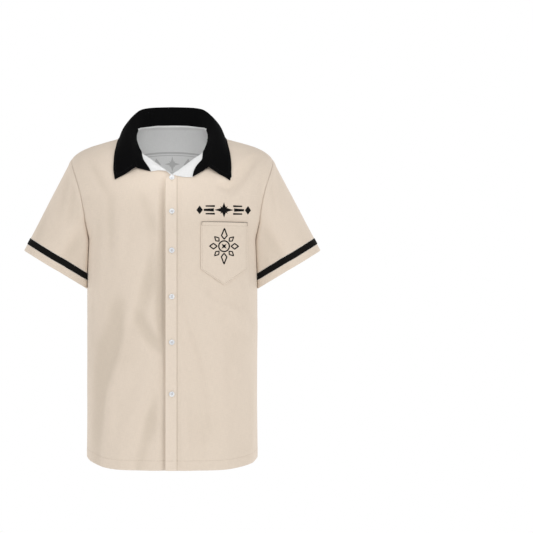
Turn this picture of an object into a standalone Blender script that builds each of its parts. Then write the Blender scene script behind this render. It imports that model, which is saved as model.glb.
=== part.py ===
"""A short-sleeved bowling shirt, buttoned up and filled out with no wearer.

Metres, +Z up, the front faces -Y.  The origin is the point midway between the
two high shoulder points at the base of the neck, where a wearer holds it up.
+X is the wearer's left: that front carries the pocket and laps over the other.
"""
import math

import bmesh
import bpy
import numpy as np
from mathutils import Matrix, Vector
from mathutils.bvhtree import BVHTree

# ------------------------------------------------------------ driving sizes
WALL = 0.0012            # cloth
COLLAR_WALL = 0.0016     # two layers of cloth and the interlining
SEAM = 0.0003            # gap between two pieces at a seam

RING_POWER = 2.6         # 2 would be an ellipse; larger is boxier
FRONT_BULGE_Z = -0.220   # fullest level of the chest
BACK_BULGE_Z = -0.170    # fullest level of the shoulder blades
ARMPIT_Z = -0.235
HEM_FRONT_Z = -0.711
HEM_BACK_Z = -0.714
HEM_SIDE_Z = -0.695

PLACKET_EDGE_X = -0.0140     # free edge of the upper front
UNDERLAP_EDGE_X = 0.0120     # edge of the lower front, behind the placket
LAP_RISE = 0.0007            # the upper front stands proud by this at the lap
LAP_DIP = 0.0024             # and the lower front dips by this behind it

ARMHOLE_TOP_Z = -0.0565
ARMHOLE_Y0 = 0.004
ARMHOLE_FRONT = 0.083
ARMHOLE_BACK = 0.084
ARMHOLE_POWER = 2.15

SLEEVE_CENTRE = (0.2519, 0.006, -0.2949)   # middle of the sleeve's opening
SLEEVE_SLOPE = math.radians(30.6)          # its plane leans by this
SLEEVE_HALF_WIDTH = 0.0778
SLEEVE_HALF_DEPTH = 0.0500
UNDERARM_FOLD = 0.0009
STRIPE_FROM_HEM = 0.0165
STRIPE_WIDTH = 0.0125
STRIPE_WALL = 0.0010

BUTTON_RADIUS = 0.0057
BUTTON_HEIGHT = 0.0026
BUTTON_X = -0.0010
BUTTON_Z = (-0.1055, -0.1765, -0.2565, -0.3520, -0.4460, -0.5530)

POCKET_LEFT, POCKET_RIGHT = 0.0592, 0.1562
POCKET_TOP_Z, POCKET_SIDE_Z, POCKET_POINT_Z = -0.1980, -0.2952, -0.3283

# columns of faces across each stretch of a panel, and rows up it
LAP_COLUMNS, LAPEL_COLUMNS, NECK_COLUMNS = 2, 3, 2
SHOULDER_COLUMNS_N, ARMHOLE_COLUMNS, ROWS = 6, 9, 19
SLEEVE_ROWS = 8
COLLAR_HALF_COLUMNS = 12

# ------------------------------------------------------------ named tables
BODY_COLUMNS = ("z", "half_width", "front_depth", "back_depth")
BODY = [
    (-0.760, 0.1832, 0.1300, 0.1270),
    (-0.600, 0.1826, 0.1305, 0.1250),
    (-0.450, 0.1822, 0.1310, 0.1235),
    (-0.320, 0.1822, 0.1318, 0.1250),
    (-0.235, 0.1838, 0.1320, 0.1285),
    (-0.2135, 0.1905, 0.1320, 0.1295),
    (-0.190, 0.2020, 0.1315, 0.1300),
    (-0.150, 0.2215, 0.1300, 0.1300),
    (-0.100, 0.2380, 0.1285, 0.1295),
    (-0.050, 0.2440, 0.1270, 0.1290),
    (0.060, 0.2480, 0.1260, 0.1285),
]

# the line of the shoulder seam, carried on across the neck, and how the cloth
# turns over it: start is how late it leaves the upright, end how full it stays;
# across the neck the back's line is rounder than the front's
SHOULDER_COLUMNS = ("x", "front_z", "back_z", "y", "front_start", "front_end",
                    "back_start", "back_end")
SHOULDER = [
    (0.0000, 0.0380, 0.0380, 0.0100, 2.00, 1.50, 2.0, 0.50),
    (0.0400, 0.0235, 0.0300, 0.0100, 2.00, 1.22, 2.0, 0.50),
    (0.0785, 0.0020, 0.0020, 0.0100, 2.00, 0.80, 2.0, 0.50),
    (0.1150, -0.0145, -0.0145, 0.0090, 2.05, 0.61, 2.1, 0.48),
    (0.1500, -0.0245, -0.0245, 0.0080, 2.15, 0.49, 2.2, 0.45),
    (0.1770, -0.0335, -0.0335, 0.0060, 2.35, 0.43, 2.4, 0.42),
    (0.1980, -0.0440, -0.0440, 0.0050, 2.70, 0.37, 2.7, 0.37),
    (0.2130, -0.0570, -0.0570, 0.0040, 2.90, 0.345, 2.9, 0.345),
    (0.2400, -0.1000, -0.1000, 0.0040, 2.90, 0.345, 2.9, 0.345),
    (0.2600, -0.1600, -0.1600, 0.0040, 2.90, 0.345, 2.9, 0.345),
]

# the upper edge of a front: from the middle along the lapel's roll line to the
# neck seam, and on up the neck seam to the high shoulder point
FRONT_NECK_COLUMNS = ("t", "x", "z")
FRONT_NECK = [
    (0.0, 0.0000, -0.0985),
    (1.0, 0.0220, -0.0826),
    (2.0, 0.0440, -0.0660),
    (3.0, 0.0655, -0.0495),
    (4.0, 0.0745, -0.0240),
    (5.0, 0.0785, 0.0020),
]

# the upper corner of the placket, left of the middle
PLACKET_TOP_COLUMNS = ("x", "z")
PLACKET_TOP = [
    (-0.0140, -0.1125),
    (-0.0120, -0.1045),
    (-0.0075, -0.1008),
    (0.0000, -0.0985),
]

BACK_NECK_COLUMNS = ("x", "z")
BACK_NECK = [
    (0.0000, 0.0190),
    (0.0300, 0.0180),
    (0.0560, 0.0135),
    (0.0720, 0.0075),
    (0.0785, 0.0020),
]

# the turned-out corner of a front: its gorge, where the collar is sewn on, and
# its free edge down to the top button
LAPEL_COLUMNS_N = ("side", "edge", "t", "x", "z")
LAPEL = [
    ("left", "gorge", 0.0, 0.0655, -0.0495),
    ("left", "gorge", 0.3, 0.0636, -0.0650),
    ("left", "gorge", 0.6, 0.0512, -0.0815),
    ("left", "gorge", 0.8, 0.0458, -0.0925),
    ("left", "gorge", 1.0, 0.0430, -0.1045),
    ("left", "free", 0.0, 0.0015, -0.1003),
    ("left", "free", 0.35, 0.0130, -0.1022),
    ("left", "free", 0.70, 0.0265, -0.1048),
    ("left", "free", 1.0, 0.0430, -0.1045),
    ("right", "gorge", 0.0, 0.0655, -0.0495),
    ("right", "gorge", 0.3, 0.0628, -0.0640),
    ("right", "gorge", 0.6, 0.0560, -0.0760),
    ("right", "gorge", 0.8, 0.0510, -0.0835),
    ("right", "gorge", 1.0, 0.0457, -0.0925),
    ("right", "free", 0.0, 0.0015, -0.0998),
    ("right", "free", 0.30, 0.0150, -0.0905),
    ("right", "free", 0.65, 0.0280, -0.0900),
    ("right", "free", 1.0, 0.0457, -0.0925),
]

# the collar, from the middle of the back to its front end: the roll line and
# the free edge, at stations along the neck seam
COLLAR_COLUMNS = ("t", "roll_x", "roll_y", "roll_z", "edge_x", "edge_y", "edge_z")
COLLAR = [
    (0.00, 0.0000, 0.0680, 0.0600, 0.0000, 0.0780, 0.0210),
    (0.14, 0.0370, 0.0630, 0.0585, 0.0430, 0.0730, 0.0190),
    (0.27, 0.0650, 0.0460, 0.0530, 0.0790, 0.0550, 0.0110),
    (0.40, 0.0825, 0.0200, 0.0375, 0.1035, 0.0270, -0.0045),
    (0.52, 0.0910, -0.0060, 0.0190, 0.1135, -0.0020, -0.0140),
    (0.66, 0.0945, -0.0380, -0.0050, 0.1185, -0.0360, -0.0370),
    (0.80, 0.0905, -0.0680, -0.0330, 0.1225, -0.0620, -0.0610),
    (0.91, 0.0830, -0.0870, -0.0600, 0.1235, -0.0800, -0.0860),
    (1.00, 0.0745, -0.0990, -0.0810, 0.1195, -0.0950, -0.1110),
]

# the foot of the roll at the collar's two front ends, below the roll line
COLLAR_END_COLUMNS = ("side", "x", "z", "stands_off")
COLLAR_END = [
    ("left", 0.0695, -0.0895, 0.0060),
    ("right", 0.0735, -0.0865, 0.0060),
]


# ------------------------------------------------------------ curves and tables
def pchip(xs, ys):
    """A smooth curve through the rows of a table that never overshoots them."""
    xs, ys = np.asarray(xs, float), np.asarray(ys, float)
    h = np.diff(xs)
    d = np.diff(ys) / h
    m = np.zeros_like(ys)
    for i in range(1, len(xs) - 1):
        if d[i - 1] * d[i] > 0:
            w1, w2 = 2 * h[i] + h[i - 1], h[i] + 2 * h[i - 1]
            m[i] = (w1 + w2) / (w1 / d[i - 1] + w2 / d[i])
    m[0], m[-1] = d[0], d[-1]

    def curve(x):
        x = min(max(x, xs[0]), xs[-1])
        i = min(max(int(np.searchsorted(xs, x)) - 1, 0), len(xs) - 2)
        t = (x - xs[i]) / h[i]
        return float((2 * t**3 - 3 * t**2 + 1) * ys[i]
                     + (t**3 - 2 * t**2 + t) * h[i] * m[i]
                     + (-2 * t**3 + 3 * t**2) * ys[i + 1]
                     + (t**3 - t**2) * h[i] * m[i + 1])
    return curve


def curve_of(names, rows, key, value, **only):
    """One column of a table as a smooth curve of another."""
    for name, wanted in only.items():
        rows = [r for r in rows if r[names.index(name)] == wanted]
    rows = sorted(rows, key=lambda r: r[names.index(key)])
    return pchip([r[names.index(key)] for r in rows],
                 [r[names.index(value)] for r in rows])


half_width = curve_of(BODY_COLUMNS, BODY, "z", "half_width")
front_depth = curve_of(BODY_COLUMNS, BODY, "z", "front_depth")
back_depth = curve_of(BODY_COLUMNS, BODY, "z", "back_depth")
front_ridge = curve_of(SHOULDER_COLUMNS, SHOULDER, "x", "front_z")
back_ridge = curve_of(SHOULDER_COLUMNS, SHOULDER, "x", "back_z")
shoulder_y = curve_of(SHOULDER_COLUMNS, SHOULDER, "x", "y")
turn_over = {name: curve_of(SHOULDER_COLUMNS, SHOULDER, "x", name)
             for name in SHOULDER_COLUMNS[4:]}
front_neck_x = curve_of(FRONT_NECK_COLUMNS, FRONT_NECK, "t", "x")
front_neck_z = curve_of(FRONT_NECK_COLUMNS, FRONT_NECK, "t", "z")
placket_top_z = curve_of(PLACKET_TOP_COLUMNS, PLACKET_TOP, "x", "z")
back_neck_z = curve_of(BACK_NECK_COLUMNS, BACK_NECK, "x", "z")
collar_curve = {name: curve_of(COLLAR_COLUMNS, COLLAR, "t", name)
                for name in COLLAR_COLUMNS[1:]}


def smooth(t):
    t = min(max(t, 0.0), 1.0)
    return t * t * (3 - 2 * t)


def resample(points, fractions):
    """Points at the given shares of a polyline's length."""
    p = np.asarray(points, float)
    s = np.concatenate([[0], np.cumsum(np.linalg.norm(np.diff(p, axis=0), axis=1))])
    return np.stack([np.interp(np.asarray(fractions) * s[-1], s, p[:, k])
                     for k in range(p.shape[1])], axis=1)


# ------------------------------------------------------------ the torso's form
FRONT, BACK = -1, 1


def shoulder_z(x, side=FRONT):
    """Height of the line that the cloth turns over, at a place across the body."""
    x = abs(x)
    if side == FRONT or x >= 0.0785:
        return front_ridge(x)
    return back_ridge(x)


def torso_y(side, x, z):
    """Depth of the cloth's outer face at a place on the front or the back."""
    x = abs(x)
    b = front_depth(z) if side == FRONT else back_depth(z)
    q = min(x / half_width(z), 1.0)
    r = b * (1.0 - q ** RING_POWER) ** (1.0 / RING_POWER)
    bulge = FRONT_BULGE_Z if side == FRONT else BACK_BULGE_Z
    if z <= bulge:
        return side * r
    which = "front" if side == FRONT else "back"
    k = min(max((z - bulge) / (shoulder_z(x, side) - bulge), 0.0), 1.0)
    g = (1.0 - k ** turn_over[which + "_start"](x)) ** turn_over[which + "_end"](x)
    return shoulder_y(x) * (1.0 - g) + side * g * r


def on_torso(side, x, z):
    return np.array([x, torso_y(side, x, z), z])


def torso_normal(side, x, z, step=0.0015):
    """The way out of the cloth at a place."""
    x0, x1 = x - step, x + step
    gx = (torso_y(side, x1, z) - torso_y(side, x0, z)) / (2 * step)
    gz = (torso_y(side, x, z + step) - torso_y(side, x, z - step)) / (2 * step)
    n = np.array([-gx, 1.0, -gz]) * side
    return n / np.linalg.norm(n)


def torso_x(y, z):
    """How far out the outer face lies at a depth and a height."""
    if abs(y) < 1e-6 and z <= ARMPIT_Z + 1e-6:
        return half_width(z)
    side = FRONT if y < shoulder_y(0.21) else BACK
    lo, hi = 0.02, 0.25
    for _ in range(44):
        mid = 0.5 * (lo + hi)
        if shoulder_z(mid) < z or side * torso_y(side, mid, z) < side * y:
            hi = mid
        else:
            lo = mid
    return 0.5 * (lo + hi)


def armhole(theta):
    """The armhole seam: 0 at the shoulder, pi at the underarm, + down the front."""
    c, s = math.cos(theta), math.sin(theta)
    e = 2.0 / ARMHOLE_POWER
    middle = 0.5 * (ARMHOLE_TOP_Z + ARMPIT_Z)
    half = 0.5 * (ARMHOLE_TOP_Z - ARMPIT_Z)
    reach = ARMHOLE_FRONT if s > 0 else ARMHOLE_BACK
    z = middle + half * math.copysign(abs(c) ** e, c)
    y = ARMHOLE_Y0 * 0.5 * (1 + c)
    if abs(s) > 1e-9:
        y -= reach * math.copysign(abs(s) ** e, s)
    elif c < 0:
        y = 0.0
    return np.array([torso_x(y, z), y, z])


def hem_z(side, x):
    q = min(abs(x) / half_width(-0.70), 1.0)
    if side == FRONT:
        return HEM_FRONT_Z + (HEM_SIDE_Z - HEM_FRONT_Z) * q ** 7
    return HEM_BACK_Z + (HEM_SIDE_Z - HEM_BACK_Z) * q ** 4.5


def ring_share(side):
    """Share of the way round the armpit ring, from the middle, as x / half width."""
    q = np.sin(np.linspace(0, math.pi / 2, 400)) ** (2 / RING_POWER)
    a = half_width(ARMPIT_Z)
    b = front_depth(ARMPIT_Z) if side == FRONT else back_depth(ARMPIT_Z)
    y = b * (1 - q ** RING_POWER).clip(0) ** (1 / RING_POWER)
    s = np.concatenate([[0], np.cumsum(np.hypot(np.diff(q * a), np.diff(y)))])
    return q, s / s[-1]


def panel_column(side, foot_q, foot_x, top):
    """The outer face from the hem up to a point of the upper edge."""
    path = []
    for t in np.linspace(0, 1, 70):
        x = foot_x if foot_x is not None else foot_q * half_width(
            HEM_FRONT_Z + (ARMPIT_Z - HEM_FRONT_Z) * t)
        foot = hem_z(side, x)
        z = foot + (ARMPIT_Z - foot) * t
        path.append(on_torso(side, x, z))
    start_x = path[-1][0]
    tx, ty, tz = top
    if tz > ARMPIT_Z + 1e-5:
        share = (tz - ARMPIT_Z) / (shoulder_z(tx, side) - ARMPIT_Z)
        for t in np.linspace(0, 1, 90)[1:]:
            h = math.sin(t * math.pi / 2)
            x = start_x + (tx - start_x) * t
            z = ARMPIT_Z + (shoulder_z(x, side) - ARMPIT_Z) * share * h
            path.append(on_torso(side, x, z))
    path[-1] = np.array([tx, ty, tz])
    return path


def panel(side, inner_x, columns=None, rows=None):
    """Half a body panel on +X, from inner_x to the side seam, as a grid of points.

    inner_x is the free edge of a front, or 0 for the middle of the back.
    Rows run up each column; the columns' tops follow the neck, the shoulder and
    the armhole in turn.
    """
    lap, lapel, neck, shoulder, arm = columns
    tops, feet_q, feet_x = [], [], []
    q_table, s_table = ring_share(side)

    def foot(share):
        return float(np.interp(share, s_table, q_table))

    def share_of(x):
        return float(np.interp(abs(x) / half_width(ARMPIT_Z), q_table, s_table))

    if side == FRONT:
        for i in range(lap):
            x = inner_x * (1 - i / lap)
            z = placket_top_z(x) if inner_x < 0 else FRONT_NECK[0][2]
            tops.append(on_torso(side, x, z))
            feet_q.append(None)
            feet_x.append(x)
        for i in range(lapel):
            t = 3.0 * i / lapel
            x, z = front_neck_x(t), front_neck_z(t)
            tops.append(on_torso(side, x, z))
            feet_q.append(foot(share_of(0.060) * i / lapel))
            feet_x.append(None)
        for i in range(neck):
            t = 3.0 + 2.0 * i / neck
            x, z = front_neck_x(t), front_neck_z(t)
            tops.append(on_torso(side, x, z))
            feet_q.append(foot(share_of(0.060 + 0.018 * i / neck)))
            feet_x.append(None)
    else:
        n = lapel + neck
        for i in range(n):
            t = i / n
            x = 0.0785 * math.sin(t * math.pi / 2) ** 0.9
            tops.append(on_torso(side, x, back_neck_z(x)))
            feet_q.append(foot(share_of(0.078 * t)))
            feet_x.append(None)
    s0, s1 = share_of(0.078), share_of(0.150)
    end_x = armhole(0.0)[0]
    for i in range(shoulder):
        t = i / shoulder
        x = 0.0785 + (end_x - 0.0785) * t
        tops.append(np.array([x, shoulder_y(x), shoulder_z(x)]))
        feet_q.append(foot(s0 + (s1 - s0) * t))
        feet_x.append(None)
    b = front_depth(ARMPIT_Z) if side == FRONT else back_depth(ARMPIT_Z)
    y1 = abs(torso_y(side, 0.150, ARMPIT_Z))
    y_side = 0.88 * abs(armhole(-side * math.pi / 2)[1])
    for i in range(arm + 1):
        t = i / arm
        top = armhole(-side * math.pi * t)
        # the columns hang nearly straight down from the armhole
        y = y1 + (y_side - y1) * 2 * t if t < 0.5 else 0.88 * abs(top[1])
        tops.append(top)
        feet_q.append((1 - (y / b) ** RING_POWER) ** (1 / RING_POWER))
        feet_x.append(None)
    fractions = np.linspace(0, 1, rows + 1) ** 0.86
    grid = []
    for top, q, x in zip(tops, feet_q, feet_x):
        if q is not None and q < 1e-9:
            q, x = None, 0.0
        grid.append(resample(panel_column(side, q, x, top), fractions))
    grid = np.array(grid)
    grid[-1, :, 1] = 0.0
    return grid


def inset(grid, first=0.0, last=0.0, foot=0.0, top=0.0):
    """Draw the edges of a grid of points in along its own lines."""
    g = np.array(grid)

    def pull(a, b, by):
        d = b - a
        n = np.linalg.norm(d, axis=-1, keepdims=True)
        return a + d / np.maximum(n, 1e-9) * np.minimum(by, 0.45 * n)
    if first:
        g[0] = pull(g[0], grid[1], first)
    if last:
        g[-1] = pull(g[-1], grid[-2], last)
    if foot:
        g[:, 0] = pull(g[:, 0], g[:, 1].copy(), foot)
    if top:
        g[:, -1] = pull(g[:, -1], g[:, -2].copy(), top)
    return g


def mirrored(grid):
    return np.asarray(grid) * np.array([-1.0, 1.0, 1.0])


# ------------------------------------------------------------ Blender helpers
for old in list(bpy.data.objects):
    bpy.data.objects.remove(old, do_unlink=True)

shirt = bpy.data.collections.new("bowling_shirt")
bpy.context.scene.collection.children.link(shirt)
cutters = bpy.data.collections.new("cutters")
bpy.context.scene.collection.children.link(cutters)

hold = bpy.data.objects.new("neck_base", None)
hold.empty_display_size = 0.05
shirt.objects.link(hold)


def material(name, colour, roughness):
    m = bpy.data.materials.new(name)
    m.use_nodes = True
    bsdf = m.node_tree.nodes["Principled BSDF"]
    bsdf.inputs["Base Color"].default_value = (*colour, 1.0)
    bsdf.inputs["Roughness"].default_value = roughness
    bsdf.inputs["Metallic"].default_value = 0.0
    m.diffuse_color = (*colour, 1.0)
    return m


BEIGE = (0.745, 0.640, 0.535)
BLACK = (0.010, 0.010, 0.011)
WHITE = (0.800, 0.795, 0.780)
PEARL = (0.850, 0.850, 0.850)


def grid_object(name, grid, wall, colour, roughness=0.85, closed=False, flip=False):
    """A cloth wall: the outer face is the grid, the wall goes inwards from it."""
    nu, nv = len(grid), len(grid[0])
    verts = [tuple(map(float, p)) for line in grid for p in line]
    faces = []
    for i in range(nu if closed else nu - 1):
        for j in range(nv - 1):
            a, b = i * nv + j, ((i + 1) % nu) * nv + j
            quad = (a, b, b + 1, a + 1)
            faces.append(quad[::-1] if flip else quad)
    mesh = bpy.data.meshes.new(name)
    mesh.from_pydata(verts, [], faces)
    mesh.validate()
    mesh.materials.append(material(name, colour, roughness))
    mesh.shade_smooth()
    ob = bpy.data.objects.new(name, mesh)
    shirt.objects.link(ob)
    ob.parent = hold
    mod = ob.modifiers.new("wall", "SOLIDIFY")
    mod.thickness = wall
    mod.offset = -1.0
    mod.use_even_offset = True
    return ob


# ------------------------------------------------------------ body panels
COLUMNS = (LAP_COLUMNS, LAPEL_COLUMNS, NECK_COLUMNS, SHOULDER_COLUMNS_N, ARMHOLE_COLUMNS)


def lap_shift(grid, over):
    """Part the two fronts where one lies over the other."""
    g = np.array(grid)
    for i in range(len(g)):
        for j in range(len(g[0])):
            x = g[i, j, 0]
            if over:
                g[i, j, 1] -= LAP_RISE * smooth((0.044 - x) / 0.022)
            else:
                g[i, j, 1] += LAP_DIP * smooth((x + 0.034) / 0.020)
    return g


over = panel(FRONT, PLACKET_EDGE_X, COLUMNS, ROWS)
under = mirrored(panel(FRONT, -UNDERLAP_EDGE_X, COLUMNS, ROWS))
over = lap_shift(over, True)
under = lap_shift(under, False)
back_half = panel(BACK, 0.0, COLUMNS, ROWS)
back_full = np.concatenate([mirrored(back_half)[::-1], back_half[1:]])

EDGE = SEAM / 2 + 0.0002
front_left = grid_object("front_left", inset(over, last=EDGE, top=EDGE + 0.0001), WALL, BEIGE)
front_right = grid_object("front_right", inset(under, last=EDGE, top=EDGE + 0.0001), WALL, BEIGE,
                          flip=True)
back = grid_object("back", inset(back_full, first=EDGE, last=EDGE, top=EDGE + 0.0001), WALL, BEIGE,
                   flip=True)


# ------------------------------------------------------------ sleeves
def sleeve_hem(theta):
    c, s = math.cos(theta), math.sin(theta)
    cx, cy, cz = SLEEVE_CENTRE
    return np.array([cx + SLEEVE_HALF_WIDTH * c * math.cos(SLEEVE_SLOPE),
                     cy - SLEEVE_HALF_DEPTH * s,
                     cz + SLEEVE_HALF_WIDTH * c * math.sin(SLEEVE_SLOPE)])


def sleeve_point(theta, t):
    """t is 0 at the armhole seam and 1 at the hem."""
    a, h = armhole(theta), sleeve_hem(theta)
    p = a + (h - a) * t
    # under the arm the cloth folds back on itself and hangs just off the body
    under = smooth((-math.cos(theta) + 0.15) / 0.75)
    p[0] += under * (0.0005 + UNDERARM_FOLD * smooth(t / 0.15)) * (1 - smooth((t - 0.45) / 0.55))
    return p


def sleeve_angles(n):
    return [math.pi * i / n for i in range(2 * n)]


def signed(theta):
    return theta if theta <= math.pi else theta - 2 * math.pi


def stripe_share(theta, above):
    """Where on a sleeve line a plane that runs along the hem crosses it."""
    n = np.array([-math.sin(SLEEVE_SLOPE), 0.0, math.cos(SLEEVE_SLOPE)])
    rise = float(np.dot(armhole(theta) - np.array(SLEEVE_CENTRE), n))
    return 1.0 - above / rise


def outwards(grid, closed=True):
    """Unit normals of a grid of points that is closed the first way."""
    g = np.asarray(grid)
    du = np.roll(g, -1, 0) - np.roll(g, 1, 0)
    if not closed:
        du[0], du[-1] = g[1] - g[0], g[-1] - g[-2]
    dv = np.gradient(g, axis=1)
    n = np.cross(du, dv)
    return n / np.linalg.norm(n, axis=-1, keepdims=True)


def sleeve_grid(angles, rows):
    return np.array([[sleeve_point(signed(a), t) for t in np.linspace(0, 1, rows + 1)]
                     for a in angles])


def stripe_grid(angles, rows, stand_off):
    base = np.array([[sleeve_point(signed(a), stripe_share(signed(a), d))
                      for d in np.linspace(STRIPE_FROM_HEM + STRIPE_WIDTH, STRIPE_FROM_HEM,
                                           rows + 1)] for a in angles])
    return base + outwards(base) * stand_off


angles = sleeve_angles(ARMHOLE_COLUMNS)
sleeve = inset(sleeve_grid(angles, SLEEVE_ROWS)[:, ::-1], top=EDGE + 0.0011)[:, ::-1]
stripe = stripe_grid(angles, 1, STRIPE_WALL + 0.0008)
for name, sign in (("left", 1), ("right", -1)):
    g = sleeve if sign > 0 else mirrored(sleeve)
    s = stripe if sign > 0 else mirrored(stripe)
    grid_object("sleeve_" + name, g, WALL, BEIGE, closed=True, flip=sign < 0)
    grid_object("sleeve_stripe_" + name, s, STRIPE_WALL, BLACK, closed=True, flip=sign < 0)


# ------------------------------------------------------------ turned-out corners
def lapel_grid(which, cols, rows):
    """The turned-out corner of a front, from the roll line to its free edge."""
    gx = curve_of(LAPEL_COLUMNS_N, LAPEL, "t", "x", side=which, edge="gorge")
    gz = curve_of(LAPEL_COLUMNS_N, LAPEL, "t", "z", side=which, edge="gorge")
    fx = curve_of(LAPEL_COLUMNS_N, LAPEL, "t", "x", side=which, edge="free")
    fz = curve_of(LAPEL_COLUMNS_N, LAPEL, "t", "z", side=which, edge="free")
    grid = []
    for i in range(cols + 1):
        u = i / cols
        roll = np.array([front_neck_x(3 * u), front_neck_z(3 * u)])
        free = np.array([fx(u), fz(u)])
        line = []
        for j in range(rows + 1):
            v = j / rows
            # a patch between the roll line, the free edge and the gorge
            ruled = roll + (free - roll) * v
            bend = (np.array([gx(v), gz(v)])
                    - (np.array([gx(0), gz(0)]) * (1 - v) + np.array([gx(1), gz(1)]) * v))
            x, z = ruled + bend * u
            # it lifts off the front in a soft roll and lies down at its edge
            off = 0.0022 + (0.0020 * math.sin(math.pi * min(v * 1.15, 1.0)) * smooth(u * 2)
                            * (1 - smooth((u - 0.65) / 0.35)))
            n = torso_normal(FRONT, x, z)
            line.append(on_torso(FRONT, x, z) + n * off)
        grid.append(line)
    return np.array(grid)


lapel_left = lapel_grid("left", 6, 3)
lapel_right = lapel_grid("right", 6, 3)
grid_object("lapel_left", lapel_left, WALL, WHITE, flip=True)
grid_object("lapel_right", mirrored(lapel_right), WALL, WHITE)


# ------------------------------------------------------------ collar
def neck_seam(t, which):
    """The neck seam from the middle of the back (0) to the collar's end (1)."""
    if t < 0.42:
        x = 0.0785 * math.sin(t / 0.42 * math.pi / 2) ** 0.95 if t > 0 else 0.0
        z = back_neck_z(x)
        return on_torso(BACK, x, z), torso_normal(BACK, x, z)
    if t < 0.72:
        k = 5.0 - 2.0 * (t - 0.42) / 0.30
        x, z = front_neck_x(k), front_neck_z(k)
    else:
        k = (t - 0.72) / 0.28
        x = curve_of(LAPEL_COLUMNS_N, LAPEL, "t", "x", side=which, edge="gorge")(k)
        z = curve_of(LAPEL_COLUMNS_N, LAPEL, "t", "z", side=which, edge="gorge")(k)
    return on_torso(FRONT, x, z), torso_normal(FRONT, x, z)


def spacing(points):
    """Where each knot of a curve falls, as a share from 0 to 1."""
    p = np.asarray(points, float)
    s = np.concatenate([[0], np.cumsum(np.linalg.norm(np.diff(p, axis=0), axis=1) ** 0.6)])
    return s / s[-1]


def through(points, shares):
    """A smooth curve through a few points, read at the given shares."""
    p, s = np.asarray(points, float), spacing(points)
    out = []
    n = len(p)
    for q in shares:
        i = min(int(np.searchsorted(s, q, side="right")) - 1, n - 2)
        i = max(i, 0)
        h = s[i + 1] - s[i]
        t = (q - s[i]) / h

        def slope(k):
            if k == 0:
                return (p[1] - p[0]) / (s[1] - s[0])
            if k == n - 1:
                return (p[-1] - p[-2]) / (s[-1] - s[-2])
            return (p[k + 1] - p[k - 1]) / (s[k + 1] - s[k - 1])
        m0, m1 = slope(i) * h, slope(i + 1) * h
        out.append((2 * t**3 - 3 * t**2 + 1) * p[i] + (t**3 - 2 * t**2 + t) * m0
                   + (-2 * t**3 + 3 * t**2) * p[i + 1] + (t**3 - t**2) * m1)
    return np.array(out)


def straight(points, share):
    """The same knots joined by straight lines."""
    p, s = np.asarray(points, float), spacing(points)
    return np.array([np.interp(share, s, p[:, k]) for k in range(3)])


def collar_line(t, which, shares):
    """One line across the collar: up the stand, over the roll, down the leaf."""
    seam, normal = neck_seam(t, which)
    lift = 0.0007 + 0.0022 * smooth((t - 0.34) / 0.10) + 0.0017 * smooth((t - 0.56) / 0.14)
    seam = seam + normal * lift
    if t < 0.46:
        seam = seam + np.array([0, 0, 0.0004])
    c = {k: f(t) for k, f in collar_curve.items()}
    roll = np.array([c["roll_x"], c["roll_y"], c["roll_z"]])
    edge = np.array([c["edge_x"], c["edge_y"], c["edge_z"]])
    inward = np.array([seam[0] - edge[0], seam[1] - edge[1], 0.0])
    inward /= max(np.linalg.norm(inward), 1e-9)
    stand = seam + (roll - seam) * 0.62 + inward * 0.0010
    # towards its front end the collar folds sharply and its leaf lies straight
    ending = smooth((t - 0.84) / 0.16)
    _, x, z, off = next(r for r in COLLAR_END if r[0] == which)
    foot = on_torso(FRONT, x, z) + torso_normal(FRONT, x, z) * off
    stand = stand + (foot - stand) * ending
    leaf = roll + (edge - roll) * 0.42 + (np.array([0, 0, 0.0030]) - inward * 0.0050) * (1 - ending)
    knots = [seam, stand, roll, leaf, edge]
    rounded = through(knots, shares)
    folded = np.array([straight(knots, q) for q in shares])
    return rounded + (folded - rounded) * ending


def collar_grid(half_columns, shares):
    ts = [math.sin(i / half_columns * math.pi / 2) ** 1.0 * 0.5 + 0.5 * i / half_columns
          for i in range(half_columns + 1)]
    left = [collar_line(t, "left", shares) for t in ts]
    right = [collar_line(t, "right", shares) for t in ts]
    return np.array([mirrored(line) for line in right[::-1]] + left[1:])


def tree_of(grids):
    verts, faces = [], []
    for g, flip in grids:
        base = len(verts)
        nu, nv = len(g), len(g[0])
        verts += [Vector(map(float, p)) for line in g for p in line]
        for i in range(nu - 1):
            for j in range(nv - 1):
                a, b = base + i * nv + j, base + (i + 1) * nv + j
                q = (a, b, b + 1, a + 1)
                faces.append(q[::-1] if flip else q)
    return BVHTree.FromPolygons(verts, faces)


def keep_off(grid, trees, least):
    """Move points out until they stand clear of the cloth below them."""
    g = np.array(grid)
    for i in range(len(g)):
        for j in range(len(g[0])):
            need = least[j] if hasattr(least, "__len__") else least
            for tree in trees:
                p = Vector(map(float, g[i, j]))
                hit, normal, _, _ = tree.find_nearest(p)
                gap = (p - hit).dot(normal)
                if gap < need:
                    g[i, j] = np.array(p + normal * (need - gap))
    return g


body_tree = tree_of([(over, False), (under, True), (back_full, True)])
shares = [0.0, 0.16, 0.32, 0.44, 0.52, 0.60, 0.72, 0.86, 1.0]
collar_points = collar_grid(COLLAR_HALF_COLUMNS, shares)
collar_points = keep_off(collar_points, [body_tree],
                         [0.0004, 0.0026, 0.0032, 0.0036, 0.0036, 0.0036, 0.0036, 0.0034, 0.0030])
collar = grid_object("collar", collar_points, COLLAR_WALL, BLACK, 0.8)


# ------------------------------------------------------------ pocket
def pocket_foot(x):
    middle = 0.5 * (POCKET_LEFT + POCKET_RIGHT)
    k = abs(x - middle) / (0.5 * (POCKET_RIGHT - POCKET_LEFT))
    return POCKET_POINT_Z + (POCKET_SIDE_Z - POCKET_POINT_Z) * k


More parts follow.
